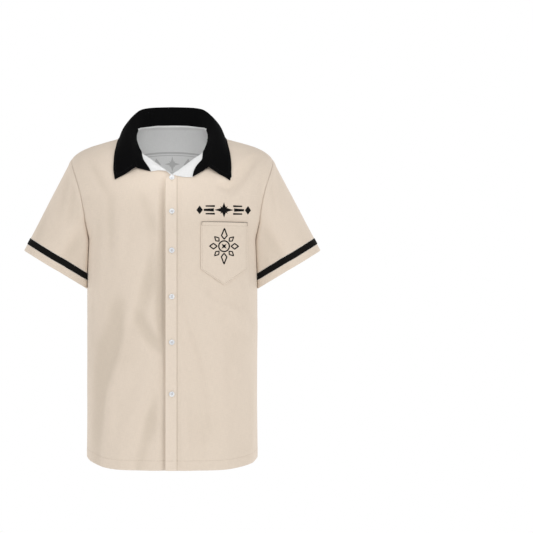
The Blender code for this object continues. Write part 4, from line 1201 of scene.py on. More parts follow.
def shell(name, outer, normals, wall, materials, closed=False, flip=False, rim=3,
          painted_light_and_shade=None, edge=None, crown=1.0, pale=None, lines=None):
    """A cloth piece: outer face, inner face and a rounded edge all round it. Where pale
    says so, the edge shows the cloth's other side. The shading values given to it are
    painted light and shade, read by the cloth's material."""
    outer = np.asarray(outer, float)
    nu, nv = outer.shape[:2]
    wall = np.broadcast_to(np.asarray(wall, float), (nu, nv))
    inner = outer - normals * wall[..., None]
    points = [outer.reshape(-1, 3), inner.reshape(-1, 3)]
    n = nu * nv
    u, v = arc_lengths(outer, closed)
    cut = [(np.stack([u, v], -1) if lines is None else lines).reshape(-1, 2)] * 2
    light_and_shade = np.zeros((nu, nv)) if painted_light_and_shade is None else np.asarray(painted_light_and_shade).reshape(nu, nv)
    worn = np.zeros((nu, nv)) if edge is None else np.asarray(edge).reshape(nu, nv)
    lights_and_shades, worns = [light_and_shade.ravel()] * 2, [worn.ravel()] * 2
    faces, index = [], []
    iu = np.arange(nu if closed else nu - 1)
    a = (iu[:, None] * nv + np.arange(nv - 1)[None]).ravel()
    b = (((iu + 1) % nu)[:, None] * nv + np.arange(nv - 1)[None]).ravel()
    quads = np.stack([a, b, b + 1, a + 1], 1)
    if flip:
        quads = quads[:, ::-1]
    faces = [quads, quads[:, ::-1] + n]
    index = [np.zeros(len(quads), int), np.ones(len(quads), int)]
    total = 2 * n
    for loop in loop_of(nu, nv, closed):
        ids = np.array([i * nv + j for i, j in loop])
        ways = []
        for i, j in loop:
            w = np.zeros(3)
            if not closed and i == 0:
                w += outer[0, j] - outer[1, j]
            if not closed and i == nu - 1:
                w += outer[-1, j] - outer[-2, j]
            if j == 0:
                w2 = outer[i, 0] - outer[i, 1]
                w = w / max(np.linalg.norm(w), 1e-9) + w2 / max(np.linalg.norm(w2), 1e-9)
            if j == nv - 1:
                w2 = outer[i, -1] - outer[i, -2]
                w = w / max(np.linalg.norm(w), 1e-9) + w2 / max(np.linalg.norm(w2), 1e-9)
            m = normals[i, j]
            w = w - m * (w @ m)
            ways.append(w / max(np.linalg.norm(w), 1e-9))
        ways = np.array(ways)
        m = normals.reshape(-1, 3)[ids]
        half = 0.5 * wall.ravel()[ids][:, None]
        middle = outer.reshape(-1, 3)[ids] - m * half
        rings = [ids]
        for k in range(1, rim + 1):
            phi = math.pi * k / (rim + 1)
            ring = middle + m * half * math.cos(phi) + ways * half * math.sin(phi) * crown
            points.append(ring)
            cut.append(cut[0][ids] - 0.0004 * k)
            lights_and_shades.append(light_and_shade.ravel()[ids])
            worns.append(np.ones(len(ids)))
            rings.append(np.arange(total, total + len(ids)))
            total += len(ids)
        rings.append(ids + n)
        for r0, r1 in zip(rings, rings[1:]):
            a, b = r0, np.roll(r0, -1)
            c, d = np.roll(r1, -1), r1
            q = np.stack([a, d, c, b], 1)
            if flip:
                q = q[:, ::-1]
            faces.append(q)
            slot = np.zeros(len(q), int)
            if pale is not None:
                slot[[bool(pale(p)) for p in outer.reshape(-1, 3)[ids]]] = 1
            index.append(slot)
    points = np.concatenate(points)
    faces, index = np.concatenate(faces), np.concatenate(index)
    mesh = bpy.data.meshes.new(name)
    mesh.from_pydata([tuple(p) for p in points.tolist()], [], faces.tolist())
    mesh.polygons.foreach_set("material_index", index)
    for m in materials:
        mesh.materials.append(m)
    layer = mesh.uv_layers.new(name="cut")
    corner = np.empty(len(mesh.loops), int)
    mesh.loops.foreach_get("vertex_index", corner)
    where = np.concatenate(cut)[corner]
    if closed:
        # the last column of faces runs on to the first one's far side
        fours = where.reshape(-1, 4, 2)
        girth = np.ptp(np.concatenate(cut)[:, 0])
        wraps = np.ptp(fours[:, :, 0], axis=1) > 0.5 * girth
        low = wraps[:, None] & (fours[:, :, 0] < fours[:, :, 0].mean(1, keepdims=True))
        fours[:, :, 0] += low * (girth * (1 + 1 / nu))
        where = fours.reshape(-1, 2)
    layer.uv.foreach_set("vector", where.astype(np.float32).ravel())
    for key, value in (("painted_light_and_shade", lights_and_shades), ("edge", worns)):
        attribute = mesh.attributes.new(key, "FLOAT", "POINT")
        attribute.data.foreach_set("value", np.concatenate(value).astype(np.float32))
    mesh.shade_smooth()
    mesh.update()
    ob = bpy.data.objects.new(name, mesh)
    bpy.context.scene.collection.objects.link(ob)
    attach(ob, "root")
    return ob


def tree_from(grid, closed=False, flip=False):
    g = np.asarray(grid)
    nu, nv = g.shape[:2]
    faces = []
    for i in range(nu if closed else nu - 1):
        for j in range(nv - 1):
            a, b = i * nv + j, ((i + 1) % nu) * nv + j
            q = (a, b, b + 1, a + 1)
            faces.append(q[::-1] if flip else q)
    return BVHTree.FromPolygons([Vector(p) for p in g.reshape(-1, 3).tolist()], faces)


def land(tree, point, normal, lift=0.0, reach=0.03):
    """Where a line through a place, along the way out, meets the cloth."""
    p, n = Vector(map(float, point)), Vector(map(float, normal))
    hit, m, _, _ = tree.ray_cast(p + n * reach, -n, 2 * reach)
    if hit is None:
        hit, m, _, _ = tree.find_nearest(p)
    if m.dot(n) < 0:
        m = -m
    return np.array(hit + m * lift), np.array(m)


def near_edges(grid, closed, reach, sides="uv"):
    """1 at the edges of a grid of points, 0 further in than reach."""
    u, v = arc_lengths(grid, closed)
    d = np.minimum(v, v[:, -1:] - v)
    if not closed:
        d = np.minimum(d, np.minimum(u, u[-1:] - u))
    s = (1 - d / reach).clip(0, 1)
    return s * s


# ------------------------------------------------------------ materials
class Build:
    """A material's nodes, made one from another."""

    def __init__(self, name):
        self.material = bpy.data.materials.new(name)
        self.material.use_nodes = True
        self.tree = self.material.node_tree
        self.bsdf = self.tree.nodes["Principled BSDF"]

    def node(self, kind, **values):
        n = self.tree.nodes.new(kind)
        for key, value in values.items():
            setattr(n, key, value)
        return n

    def put(self, socket, value):
        if isinstance(value, bpy.types.NodeSocket):
            self.tree.links.new(value, socket)
        else:
            socket.default_value = value

    def math(self, operation, *values, clamp=False):
        n = self.node("ShaderNodeMath", operation=operation, use_clamp=clamp)
        for socket, value in zip(n.inputs, values):
            self.put(socket, value)
        return n.outputs[0]

    def noise(self, vector, scale, detail=3.0, roughness=0.55, distortion=0.0):
        n = self.node("ShaderNodeTexNoise")
        self.put(n.inputs["Vector"], vector)
        n.inputs["Scale"].default_value = scale
        n.inputs["Detail"].default_value = detail
        n.inputs["Roughness"].default_value = roughness
        n.inputs["Distortion"].default_value = distortion
        return n.outputs[0]

    def wave(self, vector, scale, axis, distortion=0.0):
        n = self.node("ShaderNodeTexWave", wave_type="BANDS", bands_direction=axis)
        self.put(n.inputs["Vector"], vector)
        n.inputs["Scale"].default_value = scale
        n.inputs["Distortion"].default_value = distortion
        return n.outputs["Fac"]

    def stretched(self, vector, scale):
        n = self.node("ShaderNodeMapping")
        self.put(n.inputs["Vector"], vector)
        n.inputs["Scale"].default_value = scale
        return n.outputs[0]

    def ramp(self, value, low, high, a=0.0, b=1.0):
        n = self.node("ShaderNodeMapRange", interpolation_type="SMOOTHSTEP")
        self.put(n.inputs[0], value)
        for k, x in enumerate((low, high, a, b), 1):
            n.inputs[k].default_value = x
        return n.outputs[0]

    def mix(self, factor, a, b, blend="MIX"):
        n = self.node("ShaderNodeMix", data_type="RGBA", blend_type=blend)
        self.put(n.inputs[0], factor)
        self.put(n.inputs[6], a if isinstance(a, bpy.types.NodeSocket) else (*a, 1.0))
        self.put(n.inputs[7], b if isinstance(b, bpy.types.NodeSocket) else (*b, 1.0))
        return n.outputs[2]

    def bump(self, height, distance, strength=1.0, normal=None):
        n = self.node("ShaderNodeBump")
        n.inputs["Strength"].default_value = strength
        n.inputs["Distance"].default_value = distance
        self.put(n.inputs["Height"], height)
        if normal is not None:
            self.put(n.inputs["Normal"], normal)
        return n.outputs[0]


def cloth(name, colour, other, light, yarn=0.00046, weave=0.00007, rumple=0.00012, roughness=0.86,
          specular=0.22, sheen=0.10, grey=0.0, slub=0.05):
    """Plain-woven shirting: yarns both ways, slubs, soft patches of random tone, painted shade in crease hollows and
    a stitch groove, painted light on the placket, and a paler worn edge.
    """
    b = Build(name)
    uv = b.node("ShaderNodeUVMap", uv_map="cut").outputs[0]
    where = b.node("ShaderNodeTexCoord").outputs["Object"]
    painted_light_and_shade = b.node("ShaderNodeAttribute", attribute_name="painted_light_and_shade").outputs["Fac"]
    edge = b.node("ShaderNodeAttribute", attribute_name="edge").outputs["Fac"]
    broad = b.noise(where, 7.0, 3.0, 0.5)
    # darker tone: in broad random patches, and as painted shade where the cloth lies in a crease's hollow or a stitch
    # groove
    low = b.ramp(b.math("ADD", b.math("MULTIPLY", painted_light_and_shade, -0.75), b.math("MULTIPLY", broad, 0.9)),
                 0.36, 0.98)
    tone = b.mix(low, colour, other)
    # painted light: paler where the shading attribute is high, on the placket and in a painted highlight along its
    # free edge
    tone = b.mix(b.ramp(painted_light_and_shade, 0.15, 0.9, 0.0, 0.62), tone, light)
    # slubs run along the yarns, both ways
    across = b.noise(b.stretched(uv, (90.0, 1500.0, 1.0)), 1.0, 2.0)
    along = b.noise(b.stretched(uv, (1500.0, 70.0, 1.0)), 1.0, 2.0)
    slubs = b.math("ADD", across, along)
    shade = b.ramp(slubs, 0.7, 1.3, 1.0 - slub, 1.0 + slub * 0.4)
    tone = b.mix(1.0, tone, _grey(b, shade), "MULTIPLY")
    worn = b.math("MULTIPLY", edge, b.ramp(b.noise(where, 160.0, 2.0), 0.35, 0.75), clamp=True)
    tone = b.mix(b.math("MULTIPLY", worn, 0.5), tone, light)
    b.put(b.bsdf.inputs["Base Color"], tone)
    b.put(b.bsdf.inputs["Roughness"], b.ramp(slubs, 0.6, 1.4, roughness - 0.06, roughness + 0.05))
    b.bsdf.inputs["Specular IOR Level"].default_value = specular
    b.bsdf.inputs["Sheen Weight"].default_value = sheen
    b.bsdf.inputs["Sheen Roughness"].default_value = 0.45
    scale = 2 * math.pi / (20 * yarn)
    warp, weft = b.wave(uv, scale, "X", 0.6), b.wave(uv, scale, "Y", 0.6)
    woven = b.math("MULTIPLY", warp, weft)
    soft = b.bump(b.noise(b.stretched(where, (1.0, 1.0, 0.8)), 210.0, 3.0, 0.6), rumple)
    lines = b.bump(slubs, weave * 1.3, 0.8, soft)
    b.put(b.bsdf.inputs["Normal"], b.bump(woven, weave, 1.0, lines))
    return b.material


def _grey(b, value):
    n = b.node("ShaderNodeCombineColor")
    for k in range(3):
        b.put(n.inputs[k], value)
    return n.outputs[0]


# BEIGE_LOW is the darker tone, for random patches and for painted shade in crease hollows; the paler third tone is
# for worn edges and for painted light on the placket
BEIGE = (0.745, 0.640, 0.535)
BEIGE_LOW = (0.655, 0.560, 0.460)
shirt_cloth = cloth("shirt_cloth", BEIGE, BEIGE_LOW, (0.825, 0.718, 0.610))
wrong_side = cloth("wrong_side", (0.785, 0.788, 0.785), (0.745, 0.748, 0.742), (0.83, 0.83, 0.825))
facing_cloth = cloth("facing_cloth", (0.735, 0.738, 0.735), (0.70, 0.702, 0.70), (0.80, 0.80, 0.80),
                     sheen=0.05)
trim_cloth = cloth("trim_cloth", (0.0026, 0.0026, 0.0028), (0.0018, 0.0018, 0.0020),
                   (0.010, 0.010, 0.011), roughness=0.90, specular=0.045, sheen=0.004, slub=0.25)
stripe_cloth = cloth("stripe_cloth", (0.0085, 0.0080, 0.0075), (0.0065, 0.0060, 0.0056),
                     (0.020, 0.019, 0.018), roughness=0.90, specular=0.06, sheen=0.006, slub=0.25)
ink = cloth("print_ink", (0.0060, 0.0058, 0.0060), (0.0048, 0.0046, 0.0048),
            (0.010, 0.010, 0.010), roughness=0.80, specular=0.12, sheen=0.0, slub=0.3)

ink_behind = cloth("print_showing_through", (0.560, 0.560, 0.560), (0.52, 0.52, 0.52),
                   (0.62, 0.62, 0.62))


def thread_material(name, colour, dark):
    b = Build(name)
    where = b.node("ShaderNodeTexCoord").outputs["Object"]
    b.put(b.bsdf.inputs["Base Color"], b.mix(b.ramp(b.noise(where, 900.0, 2.0), 0.35, 0.65),
                                             dark, colour))
    b.bsdf.inputs["Roughness"].default_value = 0.55
    b.bsdf.inputs["Specular IOR Level"].default_value = 0.3
    b.put(b.bsdf.inputs["Normal"], b.bump(b.wave(where, 700.0, "DIAGONAL", 2.0), 0.00004))
    return b.material


thread = thread_material("thread", (0.56, 0.47, 0.385), (0.40, 0.335, 0.27))
hole_thread = thread_material("hole_thread", (0.78, 0.68, 0.58), (0.64, 0.55, 0.46))
dark_thread = thread_material("dark_thread", (0.020, 0.020, 0.022), (0.010, 0.010, 0.011))
# a dark thread that stands in for the shadow in the pocket's mouth
pocket_mouth_shadow_thread = thread_material("pocket_mouth_shadow_thread", (0.22, 0.185, 0.155), (0.15, 0.128, 0.108))
white_thread = thread_material("white_thread", (0.80, 0.80, 0.78), (0.66, 0.66, 0.65))


def button_material():
    """Cast polyester with a pearly cloud in it."""
    b = Build("button")
    where = b.node("ShaderNodeTexCoord").outputs["Object"]
    cloud = b.noise(b.stretched(where, (1.0, 1.0, 0.45)), 260.0, 4.0, 0.6, 1.2)
    b.put(b.bsdf.inputs["Base Color"],
          b.mix(b.ramp(cloud, 0.35, 0.7), (0.70, 0.72, 0.76), (0.93, 0.93, 0.92)))
    b.put(b.bsdf.inputs["Roughness"], b.ramp(b.noise(where, 1400.0, 2.0), 0.3, 0.7, 0.16, 0.30))
    b.bsdf.inputs["Coat Weight"].default_value = 0.3
    b.bsdf.inputs["Coat Roughness"].default_value = 0.12
    b.put(b.bsdf.inputs["Normal"], b.bump(cloud, 0.00003))
    return b.material


button_look = button_material()


# ------------------------------------------------------------ the cloth pieces
EDGE = SEAM / 2 + 0.0002
THIN = 0.0010            # one layer of shirting as it shows
PLACKET_STITCH_X = 0.0098
HEM_DEPTH = 0.0193
LOOKS = [shirt_cloth, wrong_side]


def calm_on_sleeve(angles, rows):
    c = np.array([-math.cos(signed(a)) for a in angles])
    s = ((c - 0.55) / 0.35).clip(0, 1)
    return np.repeat((1 - s * s * (3 - 2 * s))[:, None], rows, 1).ravel()


def hung(grid, on, flip=False, closed=False, calm=None):
    """A grid of points with every crease on it, and how far each point moved, clipped, to paint shade in the creases'
    hollows.
    """
    p = np.asarray(grid).reshape(-1, 3)
    n = turned(p, steady(grid, normals_of(grid, closed, flip), 0.008, closed))
    if calm is None:
        calm = body_calm(p) if on in ("body", "under") else None
    d = moved(p, n, on, calm)
    return (p + n * d[:, None]).reshape(np.shape(grid)), (d / 0.0050).clip(-1, 0.15)


def hem_dent(grid, hem_up, seed):
    """The stitched hem: a shallow groove at the stitches and small puckers below them."""
    u, v = arc_lengths(grid)
    out = np.zeros(grid.shape[:2])
    for i in range(grid.shape[0]):
        wave = noise.noise(Vector((float(grid[i, 0, 0]) / 0.009, seed, float(grid[i, 0, 1]) / 0.009)))
        slow = noise.noise(Vector((float(grid[i, 0, 0]) / 0.034, seed + 4, float(grid[i, 0, 1]) / 0.034)))
        h = v[i]
        out[i] = (-0.00042 * np.exp(-((h - hem_up) / 0.0015) ** 2)
                  + (0.00032 * wave + 0.0006 * slow) * np.exp(-((h - hem_up * 0.6) / 0.013) ** 2))
    return out


def thick(grid, base, hem_up, placket=False):
    """Cloth, and the layers turned in at a hem or a placket."""
    _, v = arc_lengths(grid)
    wall = base + 0.0009 * ((hem_up - v) / 0.0012).clip(0, 1)
    if placket:
        wall = np.maximum(wall, base + 0.0008 * ((PLACKET_STITCH_X - grid[..., 0]) / 0.0012).clip(0, 1))
    return wall


def at_neck(p):
    return p[2] > -0.0945 and abs(p[0]) < 0.0780


def front_piece(name, grid, flip, over):
    g, light_and_shade = hung(grid, "body" if over else "under", flip)
    n = steady(g, normals_of(g, False, flip), 0.0034)
    dent = hem_dent(g, HEM_DEPTH, 2.0 if over else 9.0)
    if over:
        x = grid[..., 0]
        band = ((PLACKET_STITCH_X + 0.0012 - x) / 0.0016).clip(0, 1)
        # painted light: the placket paler than the cloth beside it, brightest in a painted highlight along its free
        # edge
        lit = 0.55 + 0.45 * np.exp(-((x - x[:1].min() - 0.0006) / 0.0016) ** 2)
        light_and_shade = np.maximum(light_and_shade.reshape(x.shape), lit * band).ravel()
        # painted shade along the placket's stitch line
        sewn = np.exp(-((x - PLACKET_STITCH_X) / 0.0014) ** 2)
        light_and_shade = (light_and_shade.reshape(x.shape) - 1.3 * sewn).clip(-1, 1).ravel()
        dent = (dent + 0.00075 * band
                - 0.00085 * np.exp(-((x - PLACKET_STITCH_X) / 0.0013) ** 2)
                - 0.00090 * np.exp(-((x - PLACKET_STITCH_X - 0.0040) / 0.0030) ** 2))
        ups = np.array([[noise.noise(Vector((float(p[2]) / 0.013, 0.4, 6.0))) for p in line]
                        for line in grid])
        dent = dent + 0.00035 * ups * np.exp(-((x - PLACKET_STITCH_X) / 0.006) ** 2)
    g = g + n * dent[..., None]
    # every edge is drawn in by half the cloth's thickness, which its rounding gives back
    g = inset(g, first=0.0008, last=EDGE + THIN / 2, foot=0.0009, top=EDGE + THIN / 2)
    n = steady(g, normals_of(g, False, flip), 0.0034)
    ob = shell(name, g, n, thick(g, THIN, HEM_DEPTH, over), LOOKS, flip=flip, painted_light_and_shade=light_and_shade,
               edge=near_edges(g, False, 0.0035), pale=at_neck, lines=cut_lines(g, n))
    return ob, g, n


over = lap_shift(panel(FRONT, PLACKET_EDGE_X, COLUMNS, FRONT_ROWS), True)
under = lap_shift(mirrored(panel(FRONT, -UNDERLAP_EDGE_X, COLUMNS, FRONT_ROWS)), False)
back_half = panel(BACK, 0.0, BACK_COLUMNS, BACK_ROWS)
back_full = np.concatenate([mirrored(back_half)[::-1], back_half[1:]])

left_ob, left_grid, left_normals = front_piece("cloth_front_left", over, False, True)
right_ob, right_grid, right_normals = front_piece("cloth_front_right", under, True, False)
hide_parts("front_left")
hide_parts("front_right")

# the back's creases, and painted shade in their hollows
back_grid, back_light_and_shade = hung(back_full, "body", True)
n = steady(back_grid, normals_of(back_grid, False, True), 0.0034)
back_grid = back_grid + n * hem_dent(back_grid, HEM_DEPTH, 5.0)[..., None]
back_grid = inset(back_grid, first=EDGE + THIN / 2, last=EDGE + THIN / 2, foot=0.0009,
                  top=EDGE + THIN / 2)
back_normals = steady(back_grid, normals_of(back_grid, False, True), 0.0034)
back_ob = shell("cloth_back", back_grid, back_normals, thick(back_grid, THIN, HEM_DEPTH), LOOKS,
                flip=True, painted_light_and_shade=back_light_and_shade, edge=near_edges(back_grid, False, 0.0035),
                pale=at_neck, lines=cut_lines(back_grid, back_normals))
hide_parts("back")

left_tree = tree_from(left_grid)
right_tree = tree_from(right_grid, flip=True)
back_tree = tree_from(back_grid, flip=True)

# sleeves
SLEEVE_ANGLES = sleeve_angles(ARMHOLE_COLUMNS)
SLEEVE_HEM = 0.0215


def body_side_x(y, z):
    """How far out the body's side stands at a place below the armhole."""
    b = front_depth(z) if y < 0 else back_depth(z)
    return half_width(z) * (1 - min(abs(y) / b, 1.0) ** RING_POWER) ** (1 / RING_POWER)


def against_body(grid, angles, least=0.0006, first=0.006):
    """Under the arm the sleeve hangs against the body's side, a thread's width off it."""
    g = np.array(grid)
    s = arc_lengths(grid)[1]
    for i, a in enumerate(angles):
        w = smooth((-math.cos(signed(a)) - 0.15) / 0.55)
        if w <= 0:
            continue
        for j in range(g.shape[1]):
            x, y, z = g[i, j]
            near = 1.0 if first is None else smooth(s[i, j] / first)
            clear = least + 0.0004 * smooth((-z - 0.26) / 0.03)
            move = w * (x - body_side_x(y, z) - clear) * near
            g[i, j, 0] -= move
            g[i, j, 2] -= 0.62 * move * smooth(s[i, j] / 0.04) if first is not None else 0.62 * move
    return g


sleeve_base = against_body(sleeve_grid(SLEEVE_ANGLES, SLEEVE_ROWS), SLEEVE_ANGLES)
sleeve_obs, sleeve_trees, sleeve_grids, sleeve_walls = {}, {}, {}, {}
for side, sign in (("left", 1), ("right", -1)):
    base = sleeve_base if sign > 0 else mirrored(sleeve_base)
    flip = sign < 0
    calm = calm_on_sleeve(SLEEVE_ANGLES, SLEEVE_ROWS + 1)
    p = base.reshape(-1, 3)
    n = turned(p, normals_of(base, True, flip))
    here = [c for c in creases if "sleeve" in c.on]
    d = ripple(p)
    for c in here:
        d += c.at(p)
    d *= calm
    # painted shade in the creases' hollows, as on the body
    light_and_shade = (d / 0.0050).clip(-1, 0.15)
    g = (p + n * d[:, None]).reshape(base.shape)
    g = inset(g[:, ::-1], top=EDGE + THIN / 2, foot=0.0009)[:, ::-1]
    n = normals_of(g, True, flip)
    back_from_hem = arc_lengths(g)[1]
    back_from_hem = back_from_hem[:, -1:] - back_from_hem
    wall = THIN + 0.0009 * ((SLEEVE_HEM - back_from_hem) / 0.0015).clip(0, 1)
    # the layers of the hem lie to the inside, clear of the body under the arm
    ob = shell("cloth_sleeve_" + side, g, n, wall, LOOKS, closed=True, flip=flip, painted_light_and_shade=light_and_shade,
               edge=np.exp(-(back_from_hem / 0.0025) ** 2),
               lines=cut_lines(g, n, (-sign * 0.46, 0.0, 0.89)))
    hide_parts("sleeve_" + side)
    sleeve_obs[side], sleeve_grids[side], sleeve_walls[side] = ob, g, n
    sleeve_trees[side] = tree_from(g, closed=True, flip=flip)

    base = against_body(stripe_grid(SLEEVE_ANGLES, 7, 0.0), SLEEVE_ANGLES, first=None)
    base = base if sign > 0 else mirrored(base)
    ways = normals_of(base, True, flip)
    # it lies flatter under the arm, where the body's side is close
    under = np.array([smooth((-math.cos(signed(v)) - 0.15) / 0.55) for v in SLEEVE_ANGLES])
    placed = np.array([[land(sleeve_trees[side], q, w, 0.0010 - 0.00065 * u)[0] for q, w in zip(a, b)]
                       for a, b, u in zip(base, ways, under)])
    ways = normals_of(placed, True, flip)
    band_wall = np.repeat((0.0008 - 0.0006 * under)[:, None], placed.shape[1], axis=1)
    ob = shell("sleeve_stripe_cloth_" + side, placed, ways, band_wall, [stripe_cloth, stripe_cloth],
               closed=True, flip=flip)
    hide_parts("sleeve_stripe_" + side)
    sleeve_obs["stripe_" + side] = ob
    sleeve_grids["stripe_" + side] = placed

# turned-out corners
lapel_obs, lapel_trees, lapel_grids = {}, {}, {}
for side, sign in (("left", 1), ("right", -1)):
    base = lapel_grid(side, 34, 16)
    flip = sign > 0
    if sign < 0:
        base = mirrored(base)
    ways = normals_of(base, False, flip)
    p = base.reshape(-1, 3)
    d = moved(p, ways.reshape(-1, 3), "body")
    tree = left_tree if sign > 0 else right_tree
    g = (p + ways.reshape(-1, 3) * d[:, None]).reshape(base.shape)
    g = keep_off(g, [tree], 0.0023)
    # a soft wave along the free edge
    for i in range(g.shape[0]):
        for j in range(g.shape[1]):
            v = j / (g.shape[1] - 1)
            wave = noise.noise(Vector((float(g[i, j, 0]) / 0.018, 2.0 * sign, v)))
            g[i, j] += ways[i, j] * 0.0009 * v * (wave + 0.4)
    g = inset(g, first=0.0004, last=0.0006, foot=0.0002, top=0.0006)
    ways = normals_of(g, False, flip)
    ob = shell("cloth_lapel_" + side, g, ways, 0.0012, [facing_cloth, facing_cloth], flip=flip,
               edge=near_edges(g, False, 0.002), lines=cut_lines(g, ways, flat=(1, 0, 0)))
    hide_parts("lapel_" + side)
    lapel_obs[side], lapel_grids[side] = ob, g
    lapel_trees[side] = tree_from(g, flip=flip)

# collar
COLLAR_SHARES = [0.0, 0.035, 0.075, 0.12, 0.16, 0.21, 0.26, 0.31, 0.36, 0.40, 0.44, 0.47, 0.50, 0.53,
                 0.56, 0.60, 0.65, 0.70, 0.75, 0.80, 0.84, 0.88, 0.91, 0.935, 0.955, 0.972, 0.988, 1.0]
collar_base = collar_grid(60, COLLAR_SHARES)
least = np.interp(COLLAR_SHARES, [0.0, 0.16, 0.32, 0.44, 0.52, 0.60, 0.72, 0.86, 1.0],
                  [0.0004, 0.0026, 0.0032, 0.0036, 0.0036, 0.0036, 0.0036, 0.0034, 0.0030])
ways = normals_of(collar_base)
for i in range(collar_base.shape[0]):
    for j in range(collar_base.shape[1]):
        x, y, z = map(float, collar_base[i, j])
        s = COLLAR_SHARES[j]
        soft = smooth((s - 0.45) / 0.3)
        wave = (0.0010 * noise.noise(Vector((x * 16, y * 16 + 2, z * 16)))
                + 0.0004 * noise.noise(Vector((x * 45, y * 45, z * 45 + 3))))
        # the topstitching holds the leaf's edge in a shallow groove
        wave -= 0.00035 * math.exp(-((s - 0.935) / 0.014) ** 2)
        collar_base[i, j] += ways[i, j] * wave * (0.25 + 0.75 * soft)
# the foot of the stand goes smoothly over the shoulder seams, and covers the panels' raw upper edges
half = collar_base.shape[0] // 2
for sign in (1, -1):
    ends = {k: collar_base[half + sign * k, 0].copy() for k in (70 - 60, 72 - 60, 74 - 60, 88 - 60, 90 - 60, 92 - 60)}
    bends = [(sign * x, y, z) for x, y, z in ((0.0737, -0.0010, 0.0024), (0.0752, -0.0120, -0.0058),
                                              (0.0755, -0.0220, -0.0135))]
    knots = [ends[10], ends[12], ends[14], *map(np.array, bends), ends[28], ends[30], ends[32]]
    path = through(knots, np.linspace(0, 1, 241))
    run = np.concatenate([[0], np.cumsum(np.linalg.norm(np.diff(path, axis=0), axis=1))])
    first = run[int(np.argmin(np.linalg.norm(path - ends[14], axis=1)))]
    last = run[int(np.argmin(np.linalg.norm(path - ends[28], axis=1)))]
    for k in range(15, 28):
        at = first + (last - first) * (k - 14) / 14
        foot = np.array([np.interp(at, run, path[:, c]) for c in range(3)])
        line = collar_base[half + sign * k]
        move = foot - line[0]
        for j, s in enumerate(COLLAR_SHARES):
            line[j] += move * (1 - smooth(s / 0.46))
for i in range(collar_base.shape[0]):
    k = abs(i - half)
    for j, s in enumerate(COLLAR_SHARES):
        collar_base[i, j, 2] -= 0.0027 * smooth((26 - k) / 10) * max(0, 1 - s / 0.14)
body_tree = tree_of([(left_grid, False), (right_grid, True), (back_grid, True)])
collar_pts = keep_off(collar_base, [body_tree], least)
over = keep_off(collar_base, [body_tree], np.where(np.array(COLLAR_SHARES) < 0.13, 0.0010, least))
for i in range(half - 11, half + 12):
    collar_pts[i] = over[i]
collar_pts = inset(collar_pts, first=0.0008, last=0.0008, top=0.0008)
collar_ways = normals_of(collar_pts)
collar_ob = shell("cloth_collar", collar_pts, collar_ways, COLLAR_WALL, [trim_cloth, trim_cloth],
                  edge=near_edges(collar_pts, False, 0.0022))
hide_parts("collar")
collar_tree = tree_from(collar_pts)


# pocket
def on_front(x, z):
    return on_torso(FRONT, x, z), torso_normal(FRONT, x, z)


POCKET_INS = [0.0, 0.0007, 0.0014, 0.0021, 0.0030, 0.0045]
POCKET_BAND = 0.0076


def pocket_piece():
    width = POCKET_RIGHT - POCKET_LEFT
    xs = POCKET_INS + list(np.linspace(0.0065, width - 0.0065, 52)) \
        + [width - v for v in POCKET_INS[::-1]]
    downs = [0.0, 0.0007, 0.0015, 0.0030, 0.0050, 0.0066, 0.0076, 0.0086, 0.0105]
    grid = []
    for dx in xs:
        x = POCKET_LEFT + dx
        foot = pocket_foot(x)
        height = POCKET_TOP_Z - foot
        ds = downs + list(np.linspace(0.0130, height - 0.0055, 44)) \
            + [height - v for v in (0.0038, 0.0028, 0.0021, 0.0014, 0.0007, 0.0)]
        line = []
        for d in ds[::-1]:
            z = POCKET_TOP_Z - d
            p, n = on_front(x, z)
            q, m = land(left_tree, p, n)
            mid = max(math.sin(math.pi * dx / width), 0.0) ** 0.55
            lift = 0.0019 + 0.0022 * mid * smooth((0.040 - d) / 0.040)
            lift += 0.0005 * smooth((POCKET_BAND + 0.0008 - d) / 0.0012)
            lift += 0.0006 * mid * (0.5 + noise.noise(Vector((x * 40, 1.2, z * 30))))
            # a groove at the stitches, and the turned edge plump outside them
            side = min(dx, width - dx, (height - d) * 0.82)
            lift -= 0.00052 * math.exp(-((side - 0.0023) / 0.0011) ** 2)
            lift -= 0.00045 * math.exp(-((d - POCKET_BAND) / 0.0010) ** 2)
            if side < 0.0060 and d > POCKET_BAND:
                lift += 0.00022 * noise.noise(Vector(((x + z) / 0.0075, x / 0.0075, 4.0)))
            line.append(q + np.asarray(n) * lift)
        grid.append(line)
    grid = np.array(grid)
    ways = normals_of(grid)
    return shell("cloth_pocket", grid, ways, 0.0010, LOOKS, edge=near_edges(grid, False, 0.0018),
                 lines=cut_lines(grid, ways, flat=(1, 0, 0))), grid


pocket_ob, pocket_grid_points = pocket_piece()
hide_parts("pocket")
pocket_tree = tree_from(pocket_grid_points)


# seam allowances pressed flat inside, and the narrow binding at the back of the neck
def seam_tape(name, grid, inwards, closed=False, wall=0.0006, material=None):
    """A thin strip; inwards tells which way it is let in from the given points."""
    ways = normals_of(grid, closed)
    flip = float((ways * inwards).sum()) > 0
    if flip:
        ways = -ways
    return shell(name, grid, ways, wall, [material or shirt_cloth, material or wrong_side],
                 closed=closed, flip=flip)


